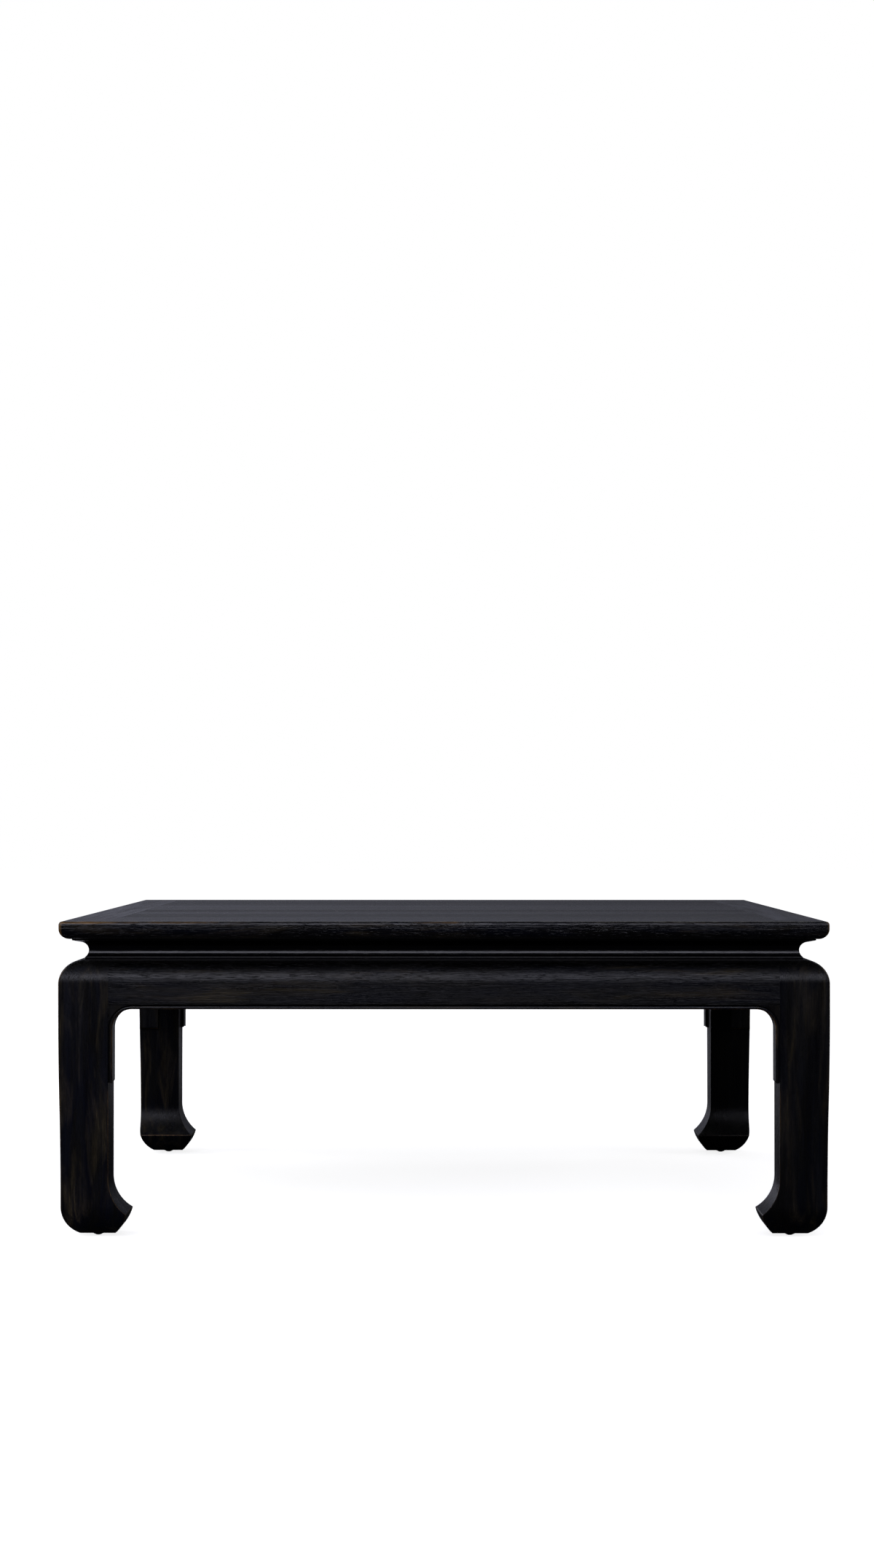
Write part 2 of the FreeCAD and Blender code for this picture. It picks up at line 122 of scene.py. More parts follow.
@dataclass(frozen=True)
class Datum:
    """Heights and reaches that the pieces share, read from the construction model."""

    half_width: float
    table_height: float
    rail_width: float
    rail_underside: float
    leg_top: float
    apron_underside: float
    apron_thickness: float
    leg_reach: float
    opening_reach: float
    sole: float
    strip_thickness: float
    strip_inset: float
    strip_width: float
    bracket_end: float
    corner_radius: float

    @classmethod
    def read(cls) -> "Datum":
        """Reads the shared heights and reaches.

        Returns:
            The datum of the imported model.
        """
        rail_low, rail_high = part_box("top_rail_front")
        apron_low, apron_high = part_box("apron_front")
        leg_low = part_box("leg_front_left")[0]
        block_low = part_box("corner_block_front_a")[0]
        strip_low, strip_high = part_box("apron_strip_front")
        bracket_low, bracket_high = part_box("bracket_strip_front_a")
        return cls(
            half_width=rail_high.x,
            table_height=rail_high.z,
            rail_width=rail_high.y - rail_low.y,
            rail_underside=rail_low.z,
            leg_top=apron_high.z,
            apron_underside=apron_low.z,
            apron_thickness=apron_high.y - apron_low.y,
            leg_reach=-leg_low.x,
            opening_reach=-block_low.x,
            sole=leg_low.z,
            strip_thickness=strip_high.z - strip_low.z,
            strip_inset=strip_low.y - leg_low.y,
            strip_width=strip_high.y - strip_low.y,
            bracket_end=bracket_low.z,
            corner_radius=bracket_high.x - bracket_low.x,
        )


def linear(hex_colour: str) -> tuple[float, float, float, float]:
    """Turns an sRGB hex colour into the linear values that a shader takes.

    Args:
        hex_colour: Six hex digits after a hash.

    Returns:
        Red, green, blue and an alpha of 1.
    """
    parts = [int(hex_colour[start:start + 2], 16) / 255 for start in (1, 3, 5)]
    red, green, blue = (
        part / 12.92 if part <= 0.04045 else ((part + 0.055) / 1.055) ** 2.4 for part in parts
    )
    return (red, green, blue, 1.0)


def add_node(tree: bpy.types.NodeTree, kind: str, settings: dict | None = None,
             **links: object) -> bpy.types.Node:
    """Adds a node with its settings and its inputs.

    Args:
        tree: The tree that the node goes into.
        kind: The node's type, such as ShaderNodeMath.
        settings: Properties of the node.
        **links: Inputs by name, with _ for a space, or by number as in_0. Each is a value, an output socket
            or a node, which stands for its first output.

    Returns:
        The new node.
    """
    node = tree.nodes.new(kind)
    for name, value in (settings or {}).items():
        setattr(node, name, value)
    for name, value in links.items():
        key = int(name[3:]) if name.startswith("in_") else name.replace("_", " ")
        if isinstance(value, bpy.types.Node):
            value = value.outputs[0]
        if isinstance(value, bpy.types.NodeSocket):
            tree.links.new(value, node.inputs[key])
        else:
            node.inputs[key].default_value = value
    return node


@dataclass(frozen=True)
class Streaks:
    """Noise drawn out along the fibres.

    The span holds the two values of the noise that give 0 and 1. Without one the noise stays as it is.
    """

    width: float
    length: float
    detail: float
    twist: float
    shift: float
    span: tuple[float, float] | None = None

    def build(self, tree: bpy.types.NodeTree, grain: bpy.types.NodeSocket) -> bpy.types.Node:
        """Adds the pattern to a material.

        Args:
            tree: The material's tree.
            grain: The output that gives a point's place in the wood, with X along the fibres.

        Returns:
            The node that gives the pattern.
        """
        place = add_node(tree, "ShaderNodeMapping", Vector=grain, Location=[self.shift] * 3,
                         Scale=(1 / self.length, 1 / self.width, 1 / self.width))
        noise = add_node(tree, "ShaderNodeTexNoise", Vector=place, Scale=1.0, Detail=self.detail,
                         Roughness=0.6, Distortion=self.twist)
        if self.span is None:
            return noise
        return add_node(tree, "ShaderNodeMapRange", Value=noise, From_Min=self.span[0], From_Max=self.span[1])


@dataclass(frozen=True)
class StainedWood:
    """Elm, planed and stained black, with a thin satin oil finish that is rubbed by use.

    The pores stay open as fine dark scratches along the grain. The stain is blue-black in the soft bands and
    lets the brown wood through in patches, and the arrises are rubbed to bare golden wood.
    """

    name: str
    blue_black: str = "#090b15"
    brown_black: str = "#0e0d0d"
    olive: str = "#3a321f"
    bare_wood: str = "#8c6a3c"

    # Real pores and fibres are a few tenths of a millimetre wide and wouldn't show at this size. The pores,
    # fibres and ticks are therefore drawn as coarse as they need to be.
    pores: Streaks = Streaks(0.8 * MM, 16 * MM, 2.0, 0.3, 3.1, (0.58, 0.70))
    fibres: Streaks = Streaks(1.1 * MM, 50 * MM, 4.0, 0.6, 7.7, (0.32, 0.68))
    ticks: Streaks = Streaks(1.1 * MM, 11 * MM, 2.0, 0.3, 21.4, (0.50, 0.68))
    bands: Streaks = Streaks(9 * MM, 160 * MM, 3.0, 0.8, 1.3, (0.36, 0.66))
    figure: Streaks = Streaks(34 * MM, 420 * MM, 2.0, 0.8, 5.9, (0.36, 0.64))
    tint: Streaks = Streaks(22 * MM, 150 * MM, 3.0, 0.8, 9.2, (0.40, 0.60))
    patches: Streaks = Streaks(22 * MM, 150 * MM, 4.0, 0.8, 12.4, (0.50, 0.74))
    runs: Streaks = Streaks(60 * MM, 60 * MM, 2.0, 0.0, 15.8)
    nicks: Streaks = Streaks(2 * MM, 12 * MM, 3.0, 0.4, 18.5)

    # How strongly the olive shows in a patch, and how much of it lies on the fibres.
    patch_share: float = 0.7
    olive_on_fibres: float = 0.6

    # What the runs and nicks add to the wear, the sums at which the bare wood starts and is full, how much of
    # it shows then, and the wear below which it fades out.
    run_share: float = 1.2
    nick_share: float = 0.7
    bare_from: float = 1.55
    bare_full: float = 2.15
    wear_share: float = 0.65
    wear_edge: float = 0.35

    # The light that the wood gives back: the plain wood's, and what fibres, pores and ticks add to it. The
    # sum is multiplied by clear_light outside the patches, and by patch_light more inside them.
    plain_light: float = 0.4
    fibre_light: float = 1.0
    pore_light: float = -0.4
    tick_light: float = 0.5
    patch_light: float = 0.65
    clear_light: float = 0.5

    # The oil film's middle roughness, what a streak takes from it, what a pore adds, and what a lighter shade
    # takes from it. Then its reflection, the depth of the pores and the fibres' share of that depth.
    roughness: float = 0.32
    streak_gloss: float = 0.10
    pore_dull: float = 0.12
    shade_gloss: float = 0.0
    specular: float = 0.18
    relief: float = 0.2 * MM
    fibre_relief: float = 0.6

    def build(self) -> bpy.types.Material:
        """Builds the node tree.

        Returns:
            The material.
        """
        material = bpy.data.materials.new(self.name)
        material.use_nodes = True
        tree = material.node_tree
        shader = tree.nodes["Principled BSDF"]
        grain = add_node(tree, "ShaderNodeAttribute", {"attribute_name": "grain"}).outputs["Vector"]
        wear = add_node(tree, "ShaderNodeAttribute", {"attribute_name": "wear"}).outputs["Fac"]
        shade = add_node(tree, "ShaderNodeAttribute", {"attribute_name": "shade"}).outputs["Fac"]
        pores, fibres, ticks = (item.build(tree, grain) for item in (self.pores, self.fibres, self.ticks))
        bands, figure, tint = (item.build(tree, grain) for item in (self.bands, self.figure, self.tint))
        patches, runs, nicks = (item.build(tree, grain) for item in (self.patches, self.runs, self.nicks))

        # The olive of the wood comes through in the patches, most of all on the fibres.
        olive = add_node(tree, "ShaderNodeMath", MULTIPLY_ADD, in_0=fibres, in_1=self.olive_on_fibres,
                         in_2=1 - self.olive_on_fibres)
        for share in (patches, self.patch_share):
            olive = add_node(tree, "ShaderNodeMath", MULTIPLY, in_0=olive, in_1=share)

        # The bare wood shows on the arrises, broken up along their length and by nicks.
        worn = wear
        for pattern, share in ((runs, self.run_share), (nicks, self.nick_share)):
            worn = add_node(tree, "ShaderNodeMath", MULTIPLY_ADD, in_0=pattern, in_1=share, in_2=worn)
        worn = add_node(tree, "ShaderNodeMapRange", Value=worn, From_Min=self.bare_from,
                        From_Max=self.bare_full, To_Max=self.wear_share)
        arris = add_node(tree, "ShaderNodeMapRange", Value=wear, From_Max=self.wear_edge)
        bare = add_node(tree, "ShaderNodeMath", MULTIPLY, in_0=worn, in_1=arris)

        colour = linear(self.blue_black)
        for share, over in ((tint, self.brown_black), (olive, self.olive), (bare, self.bare_wood)):
            colour = add_node(tree, "ShaderNodeMix", {"data_type": "RGBA"}, in_0=share, in_6=colour,
                              in_7=linear(over)).outputs[2]

        light = self.plain_light
        for pattern, share in ((fibres, self.fibre_light), (pores, self.pore_light),
                               (ticks, self.tick_light)):
            light = add_node(tree, "ShaderNodeMath", MULTIPLY_ADD, in_0=pattern, in_1=share, in_2=light)
        # The shade attribute scales it too: each piece's tone, dark joints, and painted light and shade.
        for pattern, share, rest in ((patches, self.patch_light, self.clear_light), (shade, 1.0, 1.0)):
            factor = add_node(tree, "ShaderNodeMath", MULTIPLY_ADD, in_0=pattern, in_1=share, in_2=rest)
            light = add_node(tree, "ShaderNodeMath", MULTIPLY, in_0=light, in_1=factor)
        colour = add_node(tree, "ShaderNodeVectorMath", {"operation": "SCALE"}, in_0=colour, Scale=light)

        # Fibres, bands and figure show as glossier streaks. They average a half each, and the start makes up
        # for that.
        gloss = self.roughness + 1.5 * self.streak_gloss
        for pattern, share in ((fibres, -self.streak_gloss), (bands, -self.streak_gloss),
                               (figure, -self.streak_gloss), (pores, self.pore_dull),
                               (shade, -self.shade_gloss)):
            gloss = add_node(tree, "ShaderNodeMath", MULTIPLY_ADD, in_0=pattern, in_1=share, in_2=gloss)

        height = add_node(tree, "ShaderNodeMath", MULTIPLY, in_0=fibres, in_1=self.fibre_relief)
        height = add_node(tree, "ShaderNodeMath", {"operation": "SUBTRACT"}, in_0=height, in_1=pores)
        bump = add_node(tree, "ShaderNodeBump", Height=height, Distance=self.relief, Strength=1.0)
        for socket, node in (("Base Color", colour), ("Roughness", gloss), ("Normal", bump)):
            tree.links.new(node.outputs[0], shader.inputs[socket])
        shader.inputs["Specular IOR Level"].default_value = self.specular
        return material


@dataclass(frozen=True)
class Plastic:
    """Black moulded plastic, plain and slightly satin."""

    name: str
    colour: str
    roughness: float
    speckle_width: float = 0.4 * MM
    speckle_relief: float = 0.01 * MM

    def build(self) -> bpy.types.Material:
        """Builds the node tree.

        Returns:
            The material.
        """
        material = bpy.data.materials.new(self.name)
        material.use_nodes = True
        tree = material.node_tree
        shader = tree.nodes["Principled BSDF"]
        shader.inputs["Base Color"].default_value = linear(self.colour)
        place = add_node(tree, "ShaderNodeTexCoord").outputs["Object"]
        speckle = add_node(tree, "ShaderNodeTexNoise", Vector=place, Scale=1 / self.speckle_width)
        bump = add_node(tree, "ShaderNodeBump", Height=speckle, Distance=self.speckle_relief)
        tree.links.new(bump.outputs["Normal"], shader.inputs["Normal"])
        shader.inputs["Roughness"].default_value = self.roughness
        return material


class Pen:
    """Draws an outline edge by edge in the XY plane of a mesh."""

    def __init__(self, mesh: bmesh.types.BMesh, across: float, up: float) -> None:
        """Starts at a point."""
        self.mesh = mesh
        self.first = self.last = mesh.verts.new((across, up, 0.0))

    def line_to(self, across: float, up: float) -> "Pen":
        """Draws a straight edge to a point.

        Args:
            across: The point's first coordinate.
            up: Its second coordinate.

        Returns:
            The pen.
        """
        self.last = bmesh.ops.extrude_vert_indiv(self.mesh, verts=[self.last])["verts"][0]
        self.last.co = (across, up, 0.0)
        return self

    def arc_to(self, across: float, up: float, radius: float, bend: Bend, steps: int) -> "Pen":
        """Draws an arc to a point.

        Args:
            across: The end's first coordinate.
            up: The end's second coordinate.
            radius: The arc's radius.
            bend: The way the arc turns.
            steps: How many edges it is made of.

        Returns:
            The pen.
        """
        start, end = self.last.co.copy(), Vector((across, up, 0.0))
        chord = end - start
        rise = math.sqrt(max(radius ** 2 - chord.length_squared / 4, 0.0))
        side = Vector((-chord.y, chord.x, 0.0)).normalized()
        centre = (start + end) / 2 + side * rise * bend.value
        turn = 2 * math.asin(min(chord.length / (2 * radius), 1.0)) * bend.value
        result = bmesh.ops.spin(self.mesh, geom=[self.last], cent=centre, axis=(0.0, 0.0, 1.0), angle=turn,
                                steps=steps, use_merge=False, use_duplicate=False)
        self.last = [item for item in result["geom_last"] if isinstance(item, bmesh.types.BMVert)][0]
        self.last.co = end
        return self

    def close(self) -> bmesh.types.BMFace:
        """Draws the last edge back to the start and fills the outline.

        Returns:
            The outline's face.
        """
        self.mesh.edges.new((self.last, self.first))
        result = bmesh.ops.contextual_create(self.mesh, geom=self.mesh.edges[:])
        return result["faces"][0]


class Workpiece:
    """One piece of wood on the bench, built in its own axes and then put in its place on the table."""

    def __init__(self) -> None:
        """Starts with an empty mesh that carries how worn each point is."""
        self.mesh = bmesh.new()
        self.wear = self.mesh.verts.layers.float.new("wear")

    def move(self, vec: tuple) -> None:
        """Moves the whole mesh."""
        bmesh.ops.translate(self.mesh, verts=self.mesh.verts[:], vec=vec)

    def push(self, face: bmesh.types.BMFace, length: float, lie: Lie) -> None:
        """Extrudes an outline's face and turns the piece to its side of the table.

        Args:
            face: The outline's face.
            length: How far it is extruded.
            lie: The way the outline turns.
        """
        grown = bmesh.ops.extrude_face_region(self.mesh, geom=[face], use_keep_orig=True)["geom"]
        ends = [item for item in grown if isinstance(item, bmesh.types.BMVert)]
        bmesh.ops.translate(self.mesh, verts=ends, vec=(0.0, 0.0, length))
        self.lay(lie)

    def push_along(self, face: bmesh.types.BMFace, half_length: float) -> None:
        """Extrudes an outline along its side of the table, as far left of the middle as right of it."""
        self.push(face, half_length * 2, Lie.ALONG_SIDE)
        self.move((-half_length, 0, 0))

    def sweep(self, rim: list, move: Matrix) -> list:
        """Extrudes a closed rim of edges and moves the new rim.

        Args:
            rim: The edges to extrude.
            move: The move of the new rim.

        Returns:
            The new rim.
        """
        grown = bmesh.ops.extrude_edge_only(self.mesh, edges=rim)["geom"]
        verts = {item for item in grown if isinstance(item, bmesh.types.BMVert)}
        bmesh.ops.transform(self.mesh, matrix=move, verts=list(verts))
        return [edge for edge in {edge for vert in verts for edge in vert.link_edges}
                if all(vert in verts for vert in edge.verts)]

    def turn_rim(self, rim: list, centre: tuple, axis: tuple, angle: float, steps: int) -> list:
        """Spins a closed rim of edges and gives the rim at the end."""
        result = bmesh.ops.spin(self.mesh, geom=rim, cent=centre, axis=axis, angle=angle, steps=steps,
                                use_merge=False, use_duplicate=False)
        return [item for item in result["geom_last"] if isinstance(item, bmesh.types.BMEdge)]

    def close_ends(self) -> None:
        """Fills the open rims that a sweep leaves."""
        rims = [edge for edge in self.mesh.edges if edge.is_boundary]
        bmesh.ops.holes_fill(self.mesh, edges=rims, sides=0)
        bmesh.ops.recalc_face_normals(self.mesh, faces=self.mesh.faces[:])

    def lay(self, lie: Lie) -> None:
        """Turns the whole mesh to its side of the table."""
        bmesh.ops.transform(self.mesh, matrix=Matrix((*lie.value, (0, 0, 0, 1))), verts=self.mesh.verts[:])
        bmesh.ops.recalc_face_normals(self.mesh, faces=self.mesh.faces[:])

    def mitre(self, half_length: float) -> None:
        """Cuts both ends of a piece that lies along X at 45 degrees, longest at its outer face.

        Args:
            half_length: How far the ends are from the middle before the cut.
        """
        for side in (1, -1):
            end = [vert for vert in self.mesh.verts if abs(vert.co.x - half_length * side) < NEAR]
            shear = Matrix(((1, -side, 0, 0), (0, 1, 0, 0), (0, 0, 1, 0), (0, 0, 0, 1)))
            bmesh.ops.transform(self.mesh, matrix=shear, verts=end)

    def to_end(self, end: End, reach: float) -> None:
        """Moves a piece that is drawn for the left end of an opening to its own end.

        Args:
            end: The end that it goes to. A piece for the right end is mirrored.
            reach: How far the end is from the middle.
        """
        if end is End.RIGHT:
            bmesh.ops.transform(self.mesh, matrix=Matrix.Scale(-1, 4, (1, 0, 0)), verts=self.mesh.verts[:])
            bmesh.ops.reverse_faces(self.mesh, faces=self.mesh.faces[:])
        self.move((reach if end is End.RIGHT else -reach, 0, 0))

    def edges_where(self, test: Callable[[Vector], bool]) -> list:
        """The edges whose two ends both pass a test."""
        return [edge for edge in self.mesh.edges if all(test(vert.co) for vert in edge.verts)]

    def round_over(self, edges: list, radius: float, segments: int, worn: float) -> None:
        """Rounds edges and notes how worn the new arris is.

        Args:
            edges: The sharp edges.
            radius: The radius of the round.
            segments: How many faces it is made of.
            worn: How worn the middle of the arris is, from 0 to 1.
        """
        lines = [tuple(vert.co.copy() for vert in edge.verts) for edge in edges]
        result = bmesh.ops.bevel(self.mesh, geom=edges, offset=radius, offset_type="OFFSET", affect="EDGES",
                                 segments=segments, profile=0.5, material=-1)
        for vert in {vert for face in result["faces"] for vert in face.verts}:
            gap = min(distance_to_line(vert.co, *line) for line in lines) / radius
            here = max(min(WEAR_GROWTH * (1.0 - gap) / (1.0 - ARRIS_DEPTH), 1.0), 0.0)
            vert[self.wear] = max(vert[self.wear], here * worn)

    def cut(self, axis: Axis, places: list[float]) -> None:
        """Cuts the mesh across an axis so that it has points at each place.

        Args:
            axis: The axis.
            places: The places along it.
        """
        normal = Vector(axis.value)
        for place in places:
            bmesh.ops.bisect_plane(self.mesh, geom=[*self.mesh.verts, *self.mesh.edges, *self.mesh.faces],
                                   dist=TOUCH, plane_co=normal * place, plane_no=normal)

    def stand(self, name: str, node: str, quarter: int, shift: tuple, grain: Grain, number: int,
              material: bpy.types.Material, shade: float = 0.0,
              dark_above: float = math.inf,
              darkened_at: Callable[[Vector], bool] | None = None) -> bpy.types.Object:
        """Puts the piece in its place on the table, in the stead of its plain node.

        Args:
            name: The new piece's name.
            node: The construction node that it stands for.
            quarter: How many quarter turns about the middle of the table.
            shift: The move from the piece's axes to the front side of the table.
            grain: The way its fibres run.
            number: The piece's number, which gives each its own stretch of grain.
            material: The finish.
            shade: Its colour's share lighter or darker: its own tone, and on the legs painted light and
                shade.
            dark_above: The height above which shade is painted on, nearly black.
            darkened_at: A test of a place, true at dark joints and at painted shade, both nearly black.

        Returns:
            The piece.
        """
        layer = self.mesh.verts.layers.float_vector.new("grain")
        tone_and_painted_shade = self.mesh.verts.layers.float.new("shade")
        offset = GRAIN_STEP * number
        for vert in self.mesh.verts:
            vert[layer] = Vector([vert.co[axis] for axis in grain.value]) + offset
            # Shade is painted nearly black above dark_above, and wherever darkened_at holds.
            painted_shade_and_joint = max(min((vert.co.z - dark_above) / PAINTED_SHADE_FADE, 1.0), 0.0)
            if darkened_at and darkened_at(vert.co):
                painted_shade_and_joint = 1.0
            vert[tone_and_painted_shade] = shade + (DARK_JOINT_AND_PAINTED_SHADE - shade) * painted_shade_and_joint
        self.move(shift)
        bmesh.ops.rotate(self.mesh, verts=self.mesh.verts[:], cent=(0, 0, 0),
                         matrix=Matrix.Rotation(QUARTER * quarter, 3, "Z"))
        bmesh.ops.recalc_face_normals(self.mesh, faces=self.mesh.faces[:])
        data = bpy.data.meshes.new(name)
        self.mesh.to_mesh(data)
        self.mesh.free()
        piece = bpy.data.objects.new(name, data)
        bpy.context.scene.collection.objects.link(piece)
        piece.data.materials.append(material)
        data.shade_smooth()
        split = piece.modifiers.new("weighted", "WEIGHTED_NORMAL")
        split.weight = FACE_WEIGHT
        split.keep_sharp = True
        mark_sharp(data)
        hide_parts(node)
        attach(piece, "root")
        return piece


def mark_sharp(data: bpy.types.Mesh) -> None:
    """Marks the edges that are too sharp to shade smoothly.

    Args:
        data: The mesh that they belong to.
    """
    edges = bmesh.new()
    edges.from_mesh(data)
    for edge in edges.edges:
        if len(edge.link_faces) == 2 and edge.calc_face_angle(0.0) > SHARP_FOLD:
            edge.smooth = False
    edges.to_mesh(data)
    edges.free()


def arc_radius(across: float, down: float) -> float:
    """The radius of an arc that is upright at one end and goes some way across and down from there."""
    return (across ** 2 + down ** 2) / (2 * across)


def distance_to_line(point: Vector, start: Vector, end: Vector) -> float:
    """The distance from a point to a straight stretch.

    Args:
        point: The point.
        start: The stretch's start.
        end: Its end.

    Returns:
        The distance.
    """
    way = end - start
    share = max(min((point - start).dot(way) / way.length_squared, 1.0), 0.0)
    return (point - start - way * share).length


@dataclass
class TopFrame:
    """Four mitred rails with a worn upper arris and a round belly."""

    datum: Datum
    wood: bpy.types.Material
    arris: float = 5 * MM
    belly: float = 15 * MM
    groove_drop: float = 7 * MM
    groove_height: float = 6 * MM
    groove_depth: float = 9 * MM
    joint_ease: float = 0.25 * MM
    end_rub: float = 7 * MM
    rub_steps: int = 28
    first_grain: int = 1

    # Shares of the full wear: on the other sides, at least on the front, and on the front's middle, with
    # where that lies and how wide it is. At the front's left end wear is full and falls off over a length.
    # The front's two mitred corners, left and right, have a wear of their own.
    side_rub: float = 0.4
    least_rub: float = 0.35
    middle_rub: float = 0.75
    middle_place: float = -10 * MM
    middle_width: float = 50 * MM
    left_length: float = 330 * MM
    corner_wear: tuple[float, float] = (1.6, 1.1)

    def rub_along(self, number: int, place: float) -> float:
        """How much of the full wear an upper arris shows: most at the front's left end and middle.

        Args:
            number: Which side it is on, counted from the front.
            place: Where along the side.

        Returns:
            The share of the full wear.
        """
        if number:
            return self.side_rub
        left = 1 - ((place + self.datum.half_width) / self.left_length) ** 2
        middle = self.middle_rub * math.exp(-((place - self.middle_place) / self.middle_width) ** 2)
        return self.least_rub + (1 - self.least_rub) * max(left, middle, 0.0)

    def build_rail(self, number: int, side: str) -> bpy.types.Object:
        """Builds one rail.

        Args:
            number: Which side it is, counted from the front.
            side: The side's name.

        Returns:
            The rail.
        """
        datum = self.datum
        top, underside, width = datum.table_height, datum.rail_underside, datum.rail_width
        groove_top = top - self.groove_drop
        piece = Workpiece()
        pen = Pen(piece.mesh, 0.0, top)
        pen.line_to(0.0, underside + self.belly)
        pen.arc_to(self.belly, underside, self.belly, Bend.LEFT, steps=10)
        pen.line_to(width, underside).line_to(width, groove_top - self.groove_height)
        pen.line_to(width - self.groove_depth, groove_top - self.groove_height)
        pen.line_to(width - self.groove_depth, groove_top).line_to(width, groove_top).line_to(width, top)
        piece.push_along(pen.close(), datum.half_width)
        piece.mitre(datum.half_width)
        upper = piece.edges_where(lambda co: co.z > top - NEAR and co.y < NEAR)
        long_upper = [edge for edge in upper if edge.calc_length() > width]
        piece.round_over(long_upper, self.arris, segments=8, worn=1.0)
        inner = piece.edges_where(lambda co: co.z > top - NEAR and co.y > width - NEAR)
        piece.round_over(inner, self.joint_ease, segments=2, worn=0.2)
        reach, steps = datum.half_width, self.rub_steps
        piece.cut(Axis.X, [reach * step / steps for step in range(1 - steps, steps)])
        piece.cut(Axis.X, [self.end_rub - reach, reach - self.end_rub])
        for vert in piece.mesh.verts:
            vert[piece.wear] *= self.rub_along(number, vert.co.x)
            if number == 0 and abs(vert.co.x) > reach - vert.co.y - NEAR and vert.co.y < self.belly:
                vert[piece.wear] = self.corner_wear[vert.co.x > 0]
        return piece.stand(f"{side}_rail", f"top_rail_{side}", number, (0, -datum.half_width, 0),
                           Grain.ALONG_X, number + self.first_grain, self.wood)

    def build(self) -> list[bpy.types.Object]:
        """Builds the four rails."""
        return [self.build_rail(number, side) for number, side in enumerate(SIDES)]


@dataclass
class Panel:
    """Eight flush planks, each with slightly eased upper edges so that its joints show as fine lines."""

    datum: Datum
    wood: bpy.types.Material
    count: int = 8
    tongue: float = 8 * MM
    groove_drop: float = 7 * MM
    groove_height: float = 6 * MM
    ease: float = 0.7 * MM
    dull_width: float = 2.5 * MM
    first_grain: int = 10
    shades: tuple[float, ...] = (0.1, -0.25, 0.2, -0.25, 0.2, 0.15, -0.1, -0.15)

    def build_plank(self, number: int) -> bpy.types.Object:
        """Builds one plank.

        Args:
            number: Its number, from 1 at the front.

        Returns:
            The plank.
        """
        low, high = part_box(f"plank_{number}")
        half_length = self.datum.half_width - self.datum.rail_width
        start = low.y + (self.tongue if number == 1 else 0.0)
        end = high.y - self.tongue
        groove_top = high.z - self.groove_drop
        groove_bottom = groove_top - self.groove_height
        piece = Workpiece()
        pen = Pen(piece.mesh, start, low.z)
        pen.line_to(end, low.z).line_to(end, groove_bottom)
        pen.line_to(end + self.tongue, groove_bottom).line_to(end + self.tongue, groove_top)
        pen.line_to(end, groove_top).line_to(end, high.z).line_to(start, high.z)
        if number == 1:
            pen.line_to(start, groove_top).line_to(low.y, groove_top)
            pen.line_to(low.y, groove_bottom).line_to(start, groove_bottom)
        piece.push_along(pen.close(), half_length)
        upper = piece.edges_where(lambda co: co.z > high.z - NEAR)
        piece.round_over(upper, self.ease, segments=2, worn=0.15)
        piece.cut(Axis.Y, [start + self.dull_width, end - self.dull_width])
        return piece.stand(f"board_{number}", f"plank_{number}", 0, (0, 0, 0), Grain.ALONG_X,
                           number + self.first_grain, self.wood, self.shades[number - 1],
                           darkened_at=lambda co: min(co.y - start, end - co.y) < self.dull_width / 2)

    def build(self) -> list[bpy.types.Object]:
        """Builds the planks."""
        return [self.build_plank(number) for number in range(1, self.count + 1)]


@dataclass
class Waist:
    """Four mitred boards with a thin lip, a deep cove and a square foot."""

    datum: Datum
    wood: bpy.types.Material
    back_inset: float = 52 * MM
    lip_inset: float = 17.2 * MM
    lip_height: float = 2 * MM
    cove_top_inset: float = 30 * MM
    cove_top_height: float = 26 * MM
    cove_radius: float = 12.5 * MM
    foot_inset: float = 34.3 * MM
    foot_height: float = 4 * MM
    arris: float = 0.6 * MM
    first_grain: int = 20

    def build_board(self, number: int, side: str) -> bpy.types.Object:
        """Builds one board.

        Args:
            number: Which side it is, counted from the front.
            side: The side's name.

        Returns:
            The board.
        """
        top, foot = self.datum.rail_underside, self.datum.leg_top
        piece = Workpiece()
        pen = Pen(piece.mesh, self.foot_inset, foot)
        pen.line_to(self.back_inset, foot).line_to(self.back_inset, top).line_to(self.lip_inset, top)
        pen.line_to(self.lip_inset, top - self.lip_height)
        pen.line_to(self.cove_top_inset, foot + self.cove_top_height)
        pen.arc_to(self.foot_inset, foot + self.foot_height, self.cove_radius, Bend.RIGHT, steps=20)
        piece.push_along(pen.close(), self.datum.half_width)
        piece.mitre(self.datum.half_width)
        lip = piece.edges_where(lambda co: abs(co.y - self.lip_inset) < NEAR)
        long_lip = [edge for edge in lip if edge.calc_length() > self.lip_height * 2]
        piece.round_over(long_lip, self.arris, segments=3, worn=0.4)
        shoulder = piece.edges_where(lambda co: abs(co.y - self.foot_inset) < NEAR and co.z > foot + MM)
        piece.round_over(shoulder, self.arris, segments=3, worn=0.3)
        return piece.stand(f"{side}_waist", f"waist_{side}", number, (0, -self.datum.half_width, 0),
                           Grain.ALONG_X, number + self.first_grain, self.wood)

    def build(self) -> list[bpy.types.Object]:
        """Builds the four boards."""
        return [self.build_board(number, side) for number, side in enumerate(SIDES)]


